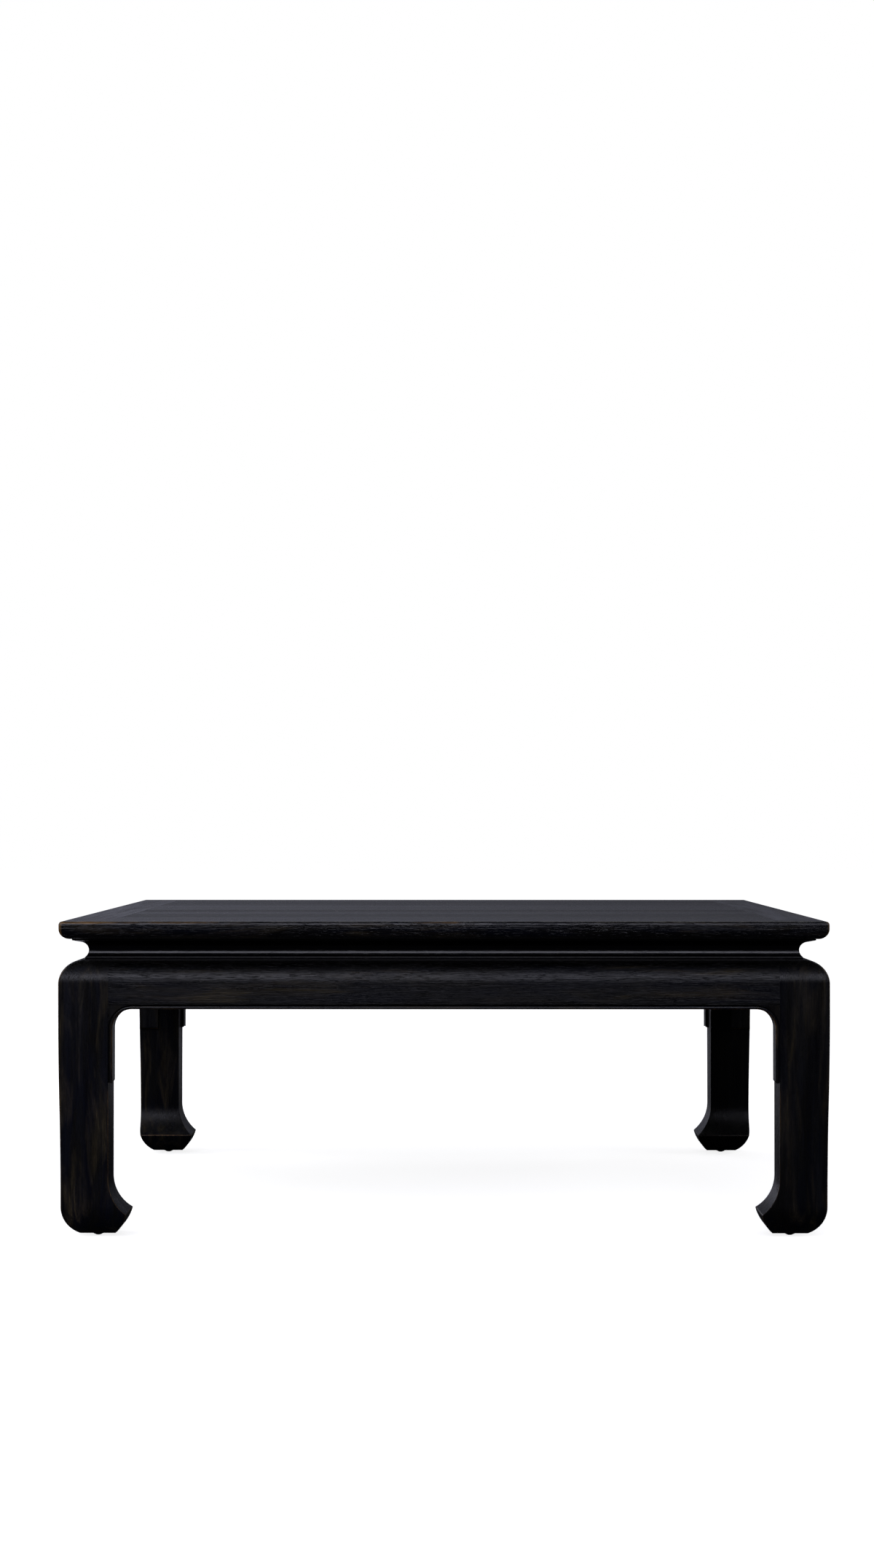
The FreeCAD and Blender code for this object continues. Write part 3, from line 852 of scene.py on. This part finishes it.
@dataclass
class Aprons:
    """Four aprons with a rounded shoulder and an eased lower arris."""

    datum: Datum
    wood: bpy.types.Material
    shoulder_inset: float = 29 * MM
    shoulder_drop: float = 32.5 * MM
    arris: float = 1.0 * MM
    shade: float = -0.25
    first_grain: int = 30

    # Shade is painted nearly black this far below the waist and above the strip, and ends over a fade.
    painted_shade_and_joint: float = 13 * MM
    lower_painted_shade: float = 3.2 * MM
    lower_fade: float = 1.5 * MM

    def build_apron(self, number: int, side: str) -> bpy.types.Object:
        """Builds one apron.

        Args:
            number: Which side it is, counted from the front.
            side: The side's name.

        Returns:
            The apron.
        """
        datum = self.datum
        radius = arc_radius(self.shoulder_inset, self.shoulder_drop)
        piece = Workpiece()
        pen = Pen(piece.mesh, 0.0, datum.apron_underside)
        pen.line_to(datum.apron_thickness, datum.apron_underside)
        pen.line_to(datum.apron_thickness, datum.leg_top).line_to(self.shoulder_inset, datum.leg_top)
        pen.arc_to(0.0, datum.leg_top - self.shoulder_drop, radius, Bend.LEFT, steps=20)
        piece.push_along(pen.close(), datum.opening_reach)
        lower = piece.edges_where(lambda co: co.y < NEAR and co.z < datum.apron_underside + NEAR)
        piece.round_over(lower, self.arris, segments=4, worn=0.0)
        dark = datum.apron_underside + self.lower_painted_shade
        piece.cut(Axis.Z, [dark, dark + self.lower_fade])
        # The apron is painted nearly black as shade under the waist and in the groove above the strip.
        return piece.stand(f"{side}_apron", f"apron_{side}", number, (0, -datum.leg_reach, 0),
                           Grain.ALONG_X, number + self.first_grain, self.wood, self.shade,
                           datum.leg_top - self.painted_shade_and_joint, darkened_at=lambda co: co.z < dark + NEAR)

    def build(self) -> list[bpy.types.Object]:
        """Builds the four aprons."""
        return [self.build_apron(number, side) for number, side in enumerate(SIDES)]


@dataclass
class Legs:
    """Four legs, square in plan at every height, with rounded arrises, a round shoulder and a hoof foot."""

    datum: Datum
    wood: bpy.types.Material
    taper: float = 3.6 * MM
    shoulder_inset: float = 29 * MM
    shoulder_drop: float = 32.5 * MM
    hoof_reach: float = 25.5 * MM
    hoof_tip_height: float = 29.0 * MM
    hoof_flare_height: float = 52.1 * MM
    hoof_flare_radius: float = 66 * MM
    hoof_under_radius: float = 55 * MM
    sole_reach: float = 8.0 * MM
    foot_round_inset: float = 24.7 * MM
    foot_round_height: float = 41.5 * MM
    outer_arris: float = 2.6 * MM
    shoulder_arris: float = 7 * MM
    front_arris: float = 1.1 * MM
    inner_arris: float = 1.4 * MM
    tip_arris: float = 2.2 * MM
    joint_arris: float = 0.15 * MM
    # How far below the leg's top, under the waist, shade is painted nearly black.
    painted_shade_and_joint: float = 13 * MM

    # The shades go round from the front left leg, and the wear of the arrises from the outer one.
    # The shades are partly each leg's own tone and partly painted light and shade: the two left legs are
    # painted lighter as if lit, and the back right leg darker as if in shadow.
    shades: tuple[float, ...] = (0.45, -0.35, -0.8, 0.6)
    arris_wear: tuple[float, ...] = (1.0, 1.2, 0.5, 1.2)
    tip_wear: float = 0.9
    arris_steps: int = 6
    first_grain: int = 40

    # How many rings make up the hoof's undercut, its flare, the straight leg, the joint and the shoulder.
    rings: tuple[int, ...] = (10, 18, 16, 3, 16)

    def outer_inset(self, height: float) -> float:
        """How far the outer faces are drawn in at a height.

        Args:
            height: The height.

        Returns:
            How far they stand inside the leg's widest place.
        """
        datum = self.datum
        shoulder = datum.leg_top - self.shoulder_drop
        knee = datum.sole + self.foot_round_height
        if height > shoulder:
            radius = arc_radius(self.shoulder_inset, self.shoulder_drop)
            return radius - math.sqrt(max(radius ** 2 - (height - shoulder) ** 2, 0.0))
        if height > datum.apron_underside:
            return 0.0
        # The face draws in along two arcs of equal height, so it is upright at the apron and at the knee.
        half_drop = (datum.apron_underside - knee) / 2
        radius = arc_radius(self.taper / 2, half_drop)
        if height > knee + half_drop:
            return radius - math.sqrt(radius ** 2 - (datum.apron_underside - height) ** 2)
        if height > knee:
            return self.taper - radius + math.sqrt(radius ** 2 - (height - knee) ** 2)
        # The round of the foot is an arc through the knee and the sole, upright at the knee.
        radius = arc_radius(self.foot_round_inset, self.foot_round_height)
        return self.taper + radius - math.sqrt(max(radius ** 2 - (knee - height) ** 2, 0.0))

    def inner_reach(self, height: float) -> float:
        """How far from the outer face the inner faces stand at a height.

        Args:
            height: The height.

        Returns:
            The distance from the leg's widest place.
        """
        datum = self.datum
        width = datum.leg_reach - datum.opening_reach
        tip = datum.sole + self.hoof_tip_height
        top = tip + self.hoof_flare_height
        if height >= top:
            return width
        if height >= tip:
            return arc_across((width + self.hoof_reach, tip), (width, top), self.hoof_flare_radius, height,
                              -1)
        return arc_across((width + self.sole_reach, datum.sole), (width + self.hoof_reach, tip),
                          self.hoof_under_radius, height, 1)

    def heights(self) -> list[float]:
        """The heights of the rings that make a leg, closer together where its outline bends.

        Returns:
            The heights, from the sole up.
        """
        datum = self.datum
        tip = datum.sole + self.hoof_tip_height
        shoulder = datum.leg_top - self.shoulder_drop
        ends = (datum.sole, tip, tip + self.hoof_flare_height, datum.apron_underside, shoulder)
        levels = [low + (high - low) * step / steps
                  for low, high, steps in zip(ends, ends[1:], self.rings) for step in range(steps)]
        turns = self.rings[-1]
        return levels + [shoulder + self.shoulder_drop * math.sin(QUARTER * step / turns)
                         for step in range(turns + 1)]

    def arris_at(self, corner: int, height: float) -> float:
        """The radius of one of the four arrises at a height.

        Args:
            corner: Which arris, counted from the outer one.
            height: The height.

        Returns:
            The radius.
        """
        if corner == 0:
            rise = (height - (self.datum.leg_top - self.shoulder_drop)) / self.shoulder_drop
            share = max(rise, 0.0)
            return self.outer_arris + (self.shoulder_arris - self.outer_arris) * share
        if height > self.datum.apron_underside - MM:
            return self.joint_arris
        return (self.front_arris, self.inner_arris, self.front_arris)[corner - 1]

    def build_leg(self, number: int, corner_name: str) -> bpy.types.Object:
        """Builds one leg as a stack of rounded squares.

        Args:
            number: Which corner it is, counted from the front left.
            corner_name: The corner's name.

        Returns:
            The leg.
        """
        piece = Workpiece()
        mesh = piece.mesh
        signs = [(1, 1), (-1, 1), (-1, -1), (1, -1)]

        def corner_place(corner: int, height: float) -> Vector:
            """The middle of a corner's round at a height.

            Args:
                corner: Which corner, counted from the outer one.
                height: The height.

            Returns:
                The middle.
            """
            radius = self.arris_at(corner, height)
            outer, inner = self.outer_inset(height) + radius, self.inner_reach(height) - radius
            return Vector((outer if signs[corner][0] > 0 else inner, outer if signs[corner][1] > 0 else inner,
                           height))

        levels = self.heights()
        ring = []
        for corner in range(4):
            centre, radius = corner_place(corner, levels[0]), self.arris_at(corner, levels[0])
            for step in range(self.arris_steps + 1):
                angle = QUARTER * (corner + 2 + step / self.arris_steps)
                vert = mesh.verts.new(centre + Vector((math.cos(angle), math.sin(angle), 0)) * radius)
                middle = 1 - abs(2 * step / self.arris_steps - 1)
                vert[piece.wear] = middle * self.arris_wear[corner]
                ring.append(vert)
        rim = [mesh.edges.new((ring[place - 1], ring[place])) for place in range(len(ring))]
        for below, height in zip(levels, levels[1:]):
            rim = piece.sweep(rim, Matrix.Identity(4))
            places = [corner_place(corner, below) for corner in range(4)]
            verts = {vert for edge in rim for vert in edge.verts}
            groups = [[vert for vert in verts if nearest(vert.co, places) == corner] for corner in range(4)]
            for corner, group in enumerate(groups):
                scale = self.arris_at(corner, height) / self.arris_at(corner, below)
                move = (Matrix.Translation(corner_place(corner, height)) @ Matrix.Scale(scale, 4)
                        @ Matrix.Translation(-places[corner]))
                bmesh.ops.transform(mesh, matrix=move, verts=group)
        for vert in mesh.verts:
            if vert.co.z > self.datum.bracket_end and max(vert.co.x, vert.co.y) > self.shoulder_inset * 2:
                vert[piece.wear] = 0.0
        piece.close_ends()
        tip = self.datum.sole + self.hoof_tip_height
        reach = self.inner_reach(tip)
        lips = [edge for edge in piece.edges_where(lambda co: abs(co.z - tip) < NEAR)
                if all(max(vert.co.x, vert.co.y) > reach - NEAR for vert in edge.verts)]
        piece.round_over(lips, self.tip_arris, segments=3, worn=self.tip_wear)
        # The top of the leg under the waist is painted nearly black as shade.
        return piece.stand(f"{corner_name}_leg", f"leg_{corner_name}", number,
                           (-self.datum.leg_reach, -self.datum.leg_reach, 0), Grain.UPRIGHT,
                           number + self.first_grain, self.wood, self.shades[number],
                           self.datum.leg_top - self.painted_shade_and_joint)

    def build(self) -> list[bpy.types.Object]:
        """Builds the four legs."""
        return [self.build_leg(number, corner) for number, corner in enumerate(CORNERS)]


def nearest(point: Vector, places: list[Vector]) -> int:
    """The number of the place that lies nearest to a point."""
    gaps = [(point - place).length for place in places]
    return gaps.index(min(gaps))


def arc_across(start: tuple, end: tuple, radius: float, height: float, side: int) -> float:
    """Where an arc in the plane of reach and height stands at a height.

    Args:
        start: The arc's lower end, as reach and height.
        end: Its upper end.
        radius: Its radius.
        height: The height asked for.
        side: 1 if the arc's centre is on the left of the way up, and -1 if on the right.

    Returns:
        The reach at that height.
    """
    first, last = Vector(start), Vector(end)
    chord = last - first
    rise = math.sqrt(max(radius ** 2 - chord.length_squared / 4, 0.0))
    centre = (first + last) / 2 + Vector((-chord.y, chord.x)).normalized() * rise * side
    across = math.sqrt(max(radius ** 2 - (height - centre.y) ** 2, 0.0))
    options = (centre.x + across, centre.x - across)
    return min(options, key=lambda reach: abs(reach - (first.x + last.x) / 2))


@dataclass
class Liner:
    """The thin strips that line each opening, and the blocks that round its corners."""

    datum: Datum
    wood: bpy.types.Material
    block_wood: bpy.types.Material
    nose: float = 1.5 * MM
    groove_height: float = 1.6 * MM
    groove_depth: float = 5 * MM
    end_round: float = 3 * MM
    joint_ease: float = 0.3 * MM

    # A block stops this far short of the quarter turn at both ends, where it would run out to nothing.
    trim_angle: float = math.radians(9.0)

    rub_steps: int = 24
    turn_steps: int = 18
    drop_steps: int = 12
    upper_wear: float = 0.25
    end_wear: float = 0.7
    block_shade: float = -0.4
    first_grain: int = 50
    bracket_grain: int = 60
    block_grain: int = 80

    def strip_section(self, piece: Workpiece) -> list:
        """Draws the strip's section, depth across and thickness up: a bead under a thin groove.

        Args:
            piece: The strip that the section belongs to.

        Returns:
            The section's edges.
        """
        width, thick, nose = self.datum.strip_width, self.datum.strip_thickness, self.nose
        bead_top = thick - self.groove_height
        pen = Pen(piece.mesh, nose, 0.0)
        pen.line_to(width, 0.0).line_to(width, thick).line_to(self.groove_depth, thick)
        pen.line_to(self.groove_depth, bead_top).line_to(nose, bead_top)
        pen.arc_to(0.0, bead_top - nose, nose, Bend.LEFT, steps=5)
        pen.line_to(0.0, nose)
        pen.arc_to(nose, 0.0, nose, Bend.LEFT, steps=5)
        bmesh.ops.remove_doubles(piece.mesh, verts=piece.mesh.verts[:], dist=TOUCH)
        for vert in piece.mesh.verts:
            depth = 1 - vert.co.x / nose
            if vert.co.x < nose + TOUCH and vert.co.y < bead_top + TOUCH:
                lower = vert.co.y < bead_top / 2
                height = (vert.co.y if lower else bead_top - vert.co.y) / nose
                worn = 1.0 if lower else self.upper_wear
                vert[piece.wear] = max(1 - abs(depth + height - 1), 0.0) * worn
        piece.lay(Lie.ALONG_SIDE)
        return piece.mesh.edges[:]

    def build_apron_strip(self, number: int, side: str) -> bpy.types.Object:
        """Builds the straight strip under one apron.

        Args:
            number: Which side it is, counted from the front.
            side: The side's name.

        Returns:
            The strip.
        """
        datum = self.datum
        half = datum.opening_reach - datum.corner_radius
        piece = Workpiece()
        rim = self.strip_section(piece)
        piece.sweep(rim, Matrix.Translation((half * 2, 0, 0)))
        piece.close_ends()
        piece.move((-half, datum.strip_inset, datum.apron_underside - datum.strip_thickness))
        steps = self.rub_steps
        piece.cut(Axis.X, [half * step / steps for step in range(1 - steps, steps)])
        return piece.stand(f"{side}_apron_strip", f"apron_strip_{side}", number, (0, -datum.leg_reach, 0),
                           Grain.ALONG_X, number + self.first_grain, self.wood)

    def build_bracket_strip(self, number: int, side: str, end: End) -> bpy.types.Object:
        """Builds the strip that turns down from the apron and runs along one leg.

        Args:
            number: Which side it is, counted from the front.
            side: The side's name.
            end: Which end of the opening.

        Returns:
            The strip.
        """
        datum = self.datum
        piece = Workpiece()
        rim = self.strip_section(piece)
        piece.move((datum.corner_radius, datum.strip_inset, datum.apron_underside - datum.strip_thickness))
        centre = (datum.corner_radius, 0, datum.apron_underside - datum.corner_radius)
        rim = piece.turn_rim(rim, centre, (0, -1, 0), QUARTER, self.turn_steps)
        straight = datum.apron_underside - datum.corner_radius - datum.bracket_end
        for _ in range(self.drop_steps):
            rim = piece.sweep(rim, Matrix.Translation((0, 0, -straight / self.drop_steps)))
        piece.close_ends()
        sharp = piece.edges_where(lambda co: abs(co.z - datum.bracket_end) < NEAR
                                  and co.x > datum.strip_thickness - NEAR)
        piece.round_over(sharp, self.end_round, segments=5, worn=self.end_wear)
        piece.to_end(end, datum.opening_reach)
        return piece.stand(f"{side}_bracket_strip_{end.value}", f"bracket_strip_{side}_{end.value}", number,
                           (0, -datum.leg_reach, 0), Grain.UPRIGHT,
                           number * 2 + self.bracket_grain + (end is End.RIGHT), self.wood)

    def build_block(self, number: int, side: str, end: End) -> bpy.types.Object:
        """Builds the block behind one turn of the strip.

        Args:
            number: Which side it is, counted from the front.
            side: The side's name.
            end: Which end of the opening.

        Returns:
            The block.
        """
        datum = self.datum
        radius = datum.corner_radius
        reach = radius * (1 - math.sin(self.trim_angle))
        tip = radius * (1 - math.cos(self.trim_angle))
        top = datum.apron_underside
        piece = Workpiece()
        pen = Pen(piece.mesh, 0.0, top)
        pen.line_to(0.0, top - reach).line_to(tip, top - reach)
        pen.arc_to(reach, top - tip, radius, Bend.RIGHT, steps=14)
        pen.line_to(reach, top)
        piece.push(pen.close(), datum.apron_thickness, Lie.INTO_SIDE)
        at_leg = piece.edges_where(lambda co: co.y < NEAR and co.x < NEAR)
        at_apron = piece.edges_where(lambda co: co.y < NEAR and co.z > top - NEAR)
        piece.round_over(at_leg + at_apron, self.joint_ease, segments=2, worn=0.0)
        piece.to_end(end, datum.opening_reach)
        return piece.stand(f"{side}_corner_block_{end.value}", f"corner_block_{side}_{end.value}", number,
                           (0, -datum.leg_reach, 0), Grain.UPRIGHT,
                           number * 2 + self.block_grain + (end is End.RIGHT),
                           self.block_wood, self.block_shade)

    def build(self) -> list[bpy.types.Object]:
        """Builds the strips and blocks of the four openings.

        Returns:
            The strips and blocks.
        """
        pieces = []
        for number, side in enumerate(SIDES):
            pieces.append(self.build_apron_strip(number, side))
            for end in End:
                pieces += [self.build_bracket_strip(number, side, end), self.build_block(number, side, end)]
        return pieces


@dataclass
class Underside:
    """The battens and glides, which keep their construction meshes."""

    batten_wood: bpy.types.Material
    plastic: bpy.types.Material
    batten_count: int = 3

    def build(self) -> list[bpy.types.Object]:
        """Gives each piece its finish.

        Returns:
            The battens and glides.
        """
        finishes = {f"batten_{number}": self.batten_wood for number in range(1, self.batten_count + 1)}
        finishes |= {f"glide_{corner}": self.plastic for corner in CORNERS}
        for node, material in finishes.items():
            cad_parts[node].data.materials.clear()
            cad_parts[node].data.materials.append(material)
        return [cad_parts[node] for node in finishes]


@dataclass(frozen=True)
class Softbox:
    """A soft rectangular lamp, with its power in watts."""

    name: str
    place: tuple[float, float, float]
    size: tuple[float, float]
    power: float
    colour: str = "#ffffff"

    def hang(self, target: Vector) -> None:
        """Hangs the lamp so that it faces a point.

        Args:
            target: The point.
        """
        data = bpy.data.lights.new(self.name, "AREA")
        data.shape = "RECTANGLE"
        data.size, data.size_y = self.size
        data.energy = self.power
        data.color = linear(self.colour)[:3]
        lamp = bpy.data.objects.new(self.name, data)
        lamp.location = self.place
        lamp.rotation_euler = (target - Vector(self.place)).to_track_quat("-Z", "Y").to_euler()
        bpy.context.scene.collection.objects.link(lamp)


@dataclass
class Studio:
    """A pale floor, soft lamps and the camera that the photograph was taken from."""

    camera_place: tuple[float, float, float] = (5.6 * MM, -4537.7 * MM, 605.0 * MM)
    camera_up: float = 0.014
    camera_left: float = 0.0039
    focal_pixels: float = 3758.2
    image_height: int = 2152
    sensor: float = 36.0
    floor_reach: float = 60.0
    target_height: float = 0.35
    softboxes: tuple[Softbox, ...] = (
        Softbox("front_softbox", (-0.6, -4.9, 2.95), (4.6, 2.4), 205.0, "#eeeeff"),
        Softbox("left_softbox", (-2.9, 0.2, 1.9), (1.8, 1.8), 30.0),
        Softbox("right_softbox", (3.2, 0.2, 1.9), (1.8, 1.8), 20.0),
        Softbox("back_softbox", (0.0, 2.4, 3.2), (2.6, 1.2), 12.0),
        Softbox("rim_softbox", (-2.8, 4.0, 0.95), (1.4, 1.3), 44.0, "#eeeeff"),
        Softbox("far_softbox", (3.8, 2.6, 1.4), (1.4, 1.3), 16.0, "#eeeeff"),
    )

    def build_floor(self) -> None:
        """Builds the pale floor, which the camera sees as white with the table's shadow on it."""
        bpy.ops.mesh.primitive_plane_add(size=self.floor_reach)
        floor = bpy.context.object
        floor.name = "floor"
        material = bpy.data.materials.new("pale_floor")
        material.use_nodes = True
        tree = material.node_tree
        tree.nodes.clear()
        path = add_node(tree, "ShaderNodeLightPath")
        place = add_node(tree, "ShaderNodeTexCoord").outputs["Object"]
        paint = add_node(tree, "ShaderNodeBsdfDiffuse", Color=linear("#c8c8c8"))

        # The floor glows white, and a little less under the table, so that it keeps the table's shadow.
        reach = add_node(tree, "ShaderNodeVectorMath", {"operation": "LENGTH"}, in_0=place).outputs["Value"]
        glow = add_node(tree, "ShaderNodeMapRange", Value=reach, From_Min=0.9, From_Max=2.4, To_Min=0.84,
                        To_Max=1.0)
        white = add_node(tree, "ShaderNodeEmission", Color=linear("#ffffff"), Strength=glow)
        seen = add_node(tree, "ShaderNodeAddShader", in_0=paint, in_1=white)

        # The table itself meets a dark floor that grows lighter from 0.8 m to 2.5 m behind its middle.
        split = add_node(tree, "ShaderNodeSeparateXYZ", Vector=place)
        behind = add_node(tree, "ShaderNodeMapRange", Value=split.outputs["Y"], From_Min=0.8, From_Max=2.5,
                          To_Min=0.04, To_Max=0.28)
        felt = add_node(tree, "ShaderNodeBsdfDiffuse", Color=behind)
        mix = add_node(tree, "ShaderNodeMixShader", in_0=path.outputs["Is Camera Ray"], in_1=felt, in_2=seen)
        add_node(tree, "ShaderNodeOutputMaterial", Surface=mix)
        floor.data.materials.append(material)

    def build_camera(self) -> None:
        """Places the camera where the photograph's was."""
        data = bpy.data.cameras.new("camera")
        data.sensor_width = self.sensor
        data.lens = self.focal_pixels / self.image_height * self.sensor
        data.clip_end = 100.0
        camera = bpy.data.objects.new("camera", data)
        camera.location = self.camera_place
        camera.rotation_euler = (QUARTER + self.camera_up, 0.0, self.camera_left)
        bpy.context.scene.collection.objects.link(camera)
        bpy.context.scene.camera = camera

    def build_world(self) -> None:
        """White to the camera, and a dim even light for everything else."""
        world = bpy.data.worlds.new("studio")
        bpy.context.scene.world = world
        world.use_nodes = True
        tree = world.node_tree
        tree.nodes.clear()
        path = add_node(tree, "ShaderNodeLightPath")
        way = add_node(tree, "ShaderNodeTexCoord").outputs["Generated"]

        # The room is lighter behind the table than before it, and lighter on the left than on the right.
        split = add_node(tree, "ShaderNodeSeparateXYZ", Vector=way)
        level = add_node(tree, "ShaderNodeMapRange", Value=split.outputs["Y"], From_Min=-0.6, From_Max=0.9,
                         To_Min=0.02, To_Max=0.115)
        side = add_node(tree, "ShaderNodeMapRange", Value=split.outputs["X"], From_Min=-0.2, From_Max=0.1,
                        To_Min=1.85, To_Max=1.0)
        glow = add_node(tree, "ShaderNodeMath", MULTIPLY, in_0=level, in_1=side)
        room = add_node(tree, "ShaderNodeBackground", Color=linear("#e6e8ff"), Strength=glow)
        white = add_node(tree, "ShaderNodeBackground", Color=linear("#ffffff"), Strength=1.0)
        mix = add_node(tree, "ShaderNodeMixShader", in_0=path.outputs["Is Camera Ray"], in_1=room, in_2=white)
        add_node(tree, "ShaderNodeOutputWorld", Surface=mix)

    def build(self) -> None:
        """Builds the whole studio."""
        self.build_floor()
        self.build_world()
        self.build_camera()
        for softbox in self.softboxes:
            softbox.hang(Vector((0, 0, self.target_height)))


def main() -> None:
    """Builds the table piece by piece, and the studio around it."""
    logging.basicConfig(level=logging.INFO, format="%(name)s: %(message)s")
    bpy.context.scene.view_settings.view_transform = "Standard"
    datum = Datum.read()
    # The planks are flat-sawn elm, planed, stained and oiled: a wide figure under a sheen.
    panel_wood = StainedWood("black_stained_elm_panel", streak_gloss=0.05, roughness=0.23, shade_gloss=0.22,
                             specular=0.24,
                             figure=Streaks(60 * MM, 800 * MM, 2.0, 0.8, 5.9, (0.36, 0.64))).build()
    # The rails are the same elm, moulded and handled most: a bright sheen and bare wood along the arris.
    rail_wood = StainedWood("black_stained_elm_rail", roughness=0.20, specular=0.28, wear_share=0.85).build()
    # The aprons, legs and blocks are the same elm, shaped by hand and seldom touched: a soft satin.
    frame_wood = StainedWood("black_stained_elm").build()
    # The waist is the same elm, scraped smooth, with a thin sheen. Its black is painted darker still, as
    # shade under the rail's overhang.
    waist_wood = StainedWood("black_stained_elm_waist_painted_shade", blue_black="#030306", brown_black="#040304",
                             patch_share=0.0, relief=0.02 * MM, streak_gloss=0.03, roughness=0.20,
                             specular=0.22).build()
    # The strips are thin moulded elm, rubbed along the bead: fine pores and a light golden line.
    strip_wood = StainedWood("black_stained_strip", relief=0.04 * MM, roughness=0.25, wear_share=1.0,
                             specular=0.28, bare_wood="#a87c44",
                             pores=Streaks(0.5 * MM, 16 * MM, 2.0, 0.3, 3.1, (0.58, 0.70))).build()
    # The battens are sawn softwood under a dark wash: a dull brown.
    batten_wood = StainedWood("dark_washed_softwood", blue_black="#1a1612", brown_black="#241b12",
                              roughness=0.6).build()
    # The glides are moulded plastic: plain black and slightly satin.
    plastic = Plastic("black_plastic", "#101010", 0.45).build()
    parts = (TopFrame(datum, rail_wood), Panel(datum, panel_wood), Waist(datum, waist_wood),
             Aprons(datum, frame_wood), Legs(datum, frame_wood), Liner(datum, strip_wood, frame_wood),
             Underside(batten_wood, plastic))
    for part in parts:
        for piece in part.build():
            log.info("%s: %s with %d faces", type(part).__name__, piece.name, len(piece.data.polygons))
    Studio().build()


if __name__ == "__main__":
    main()
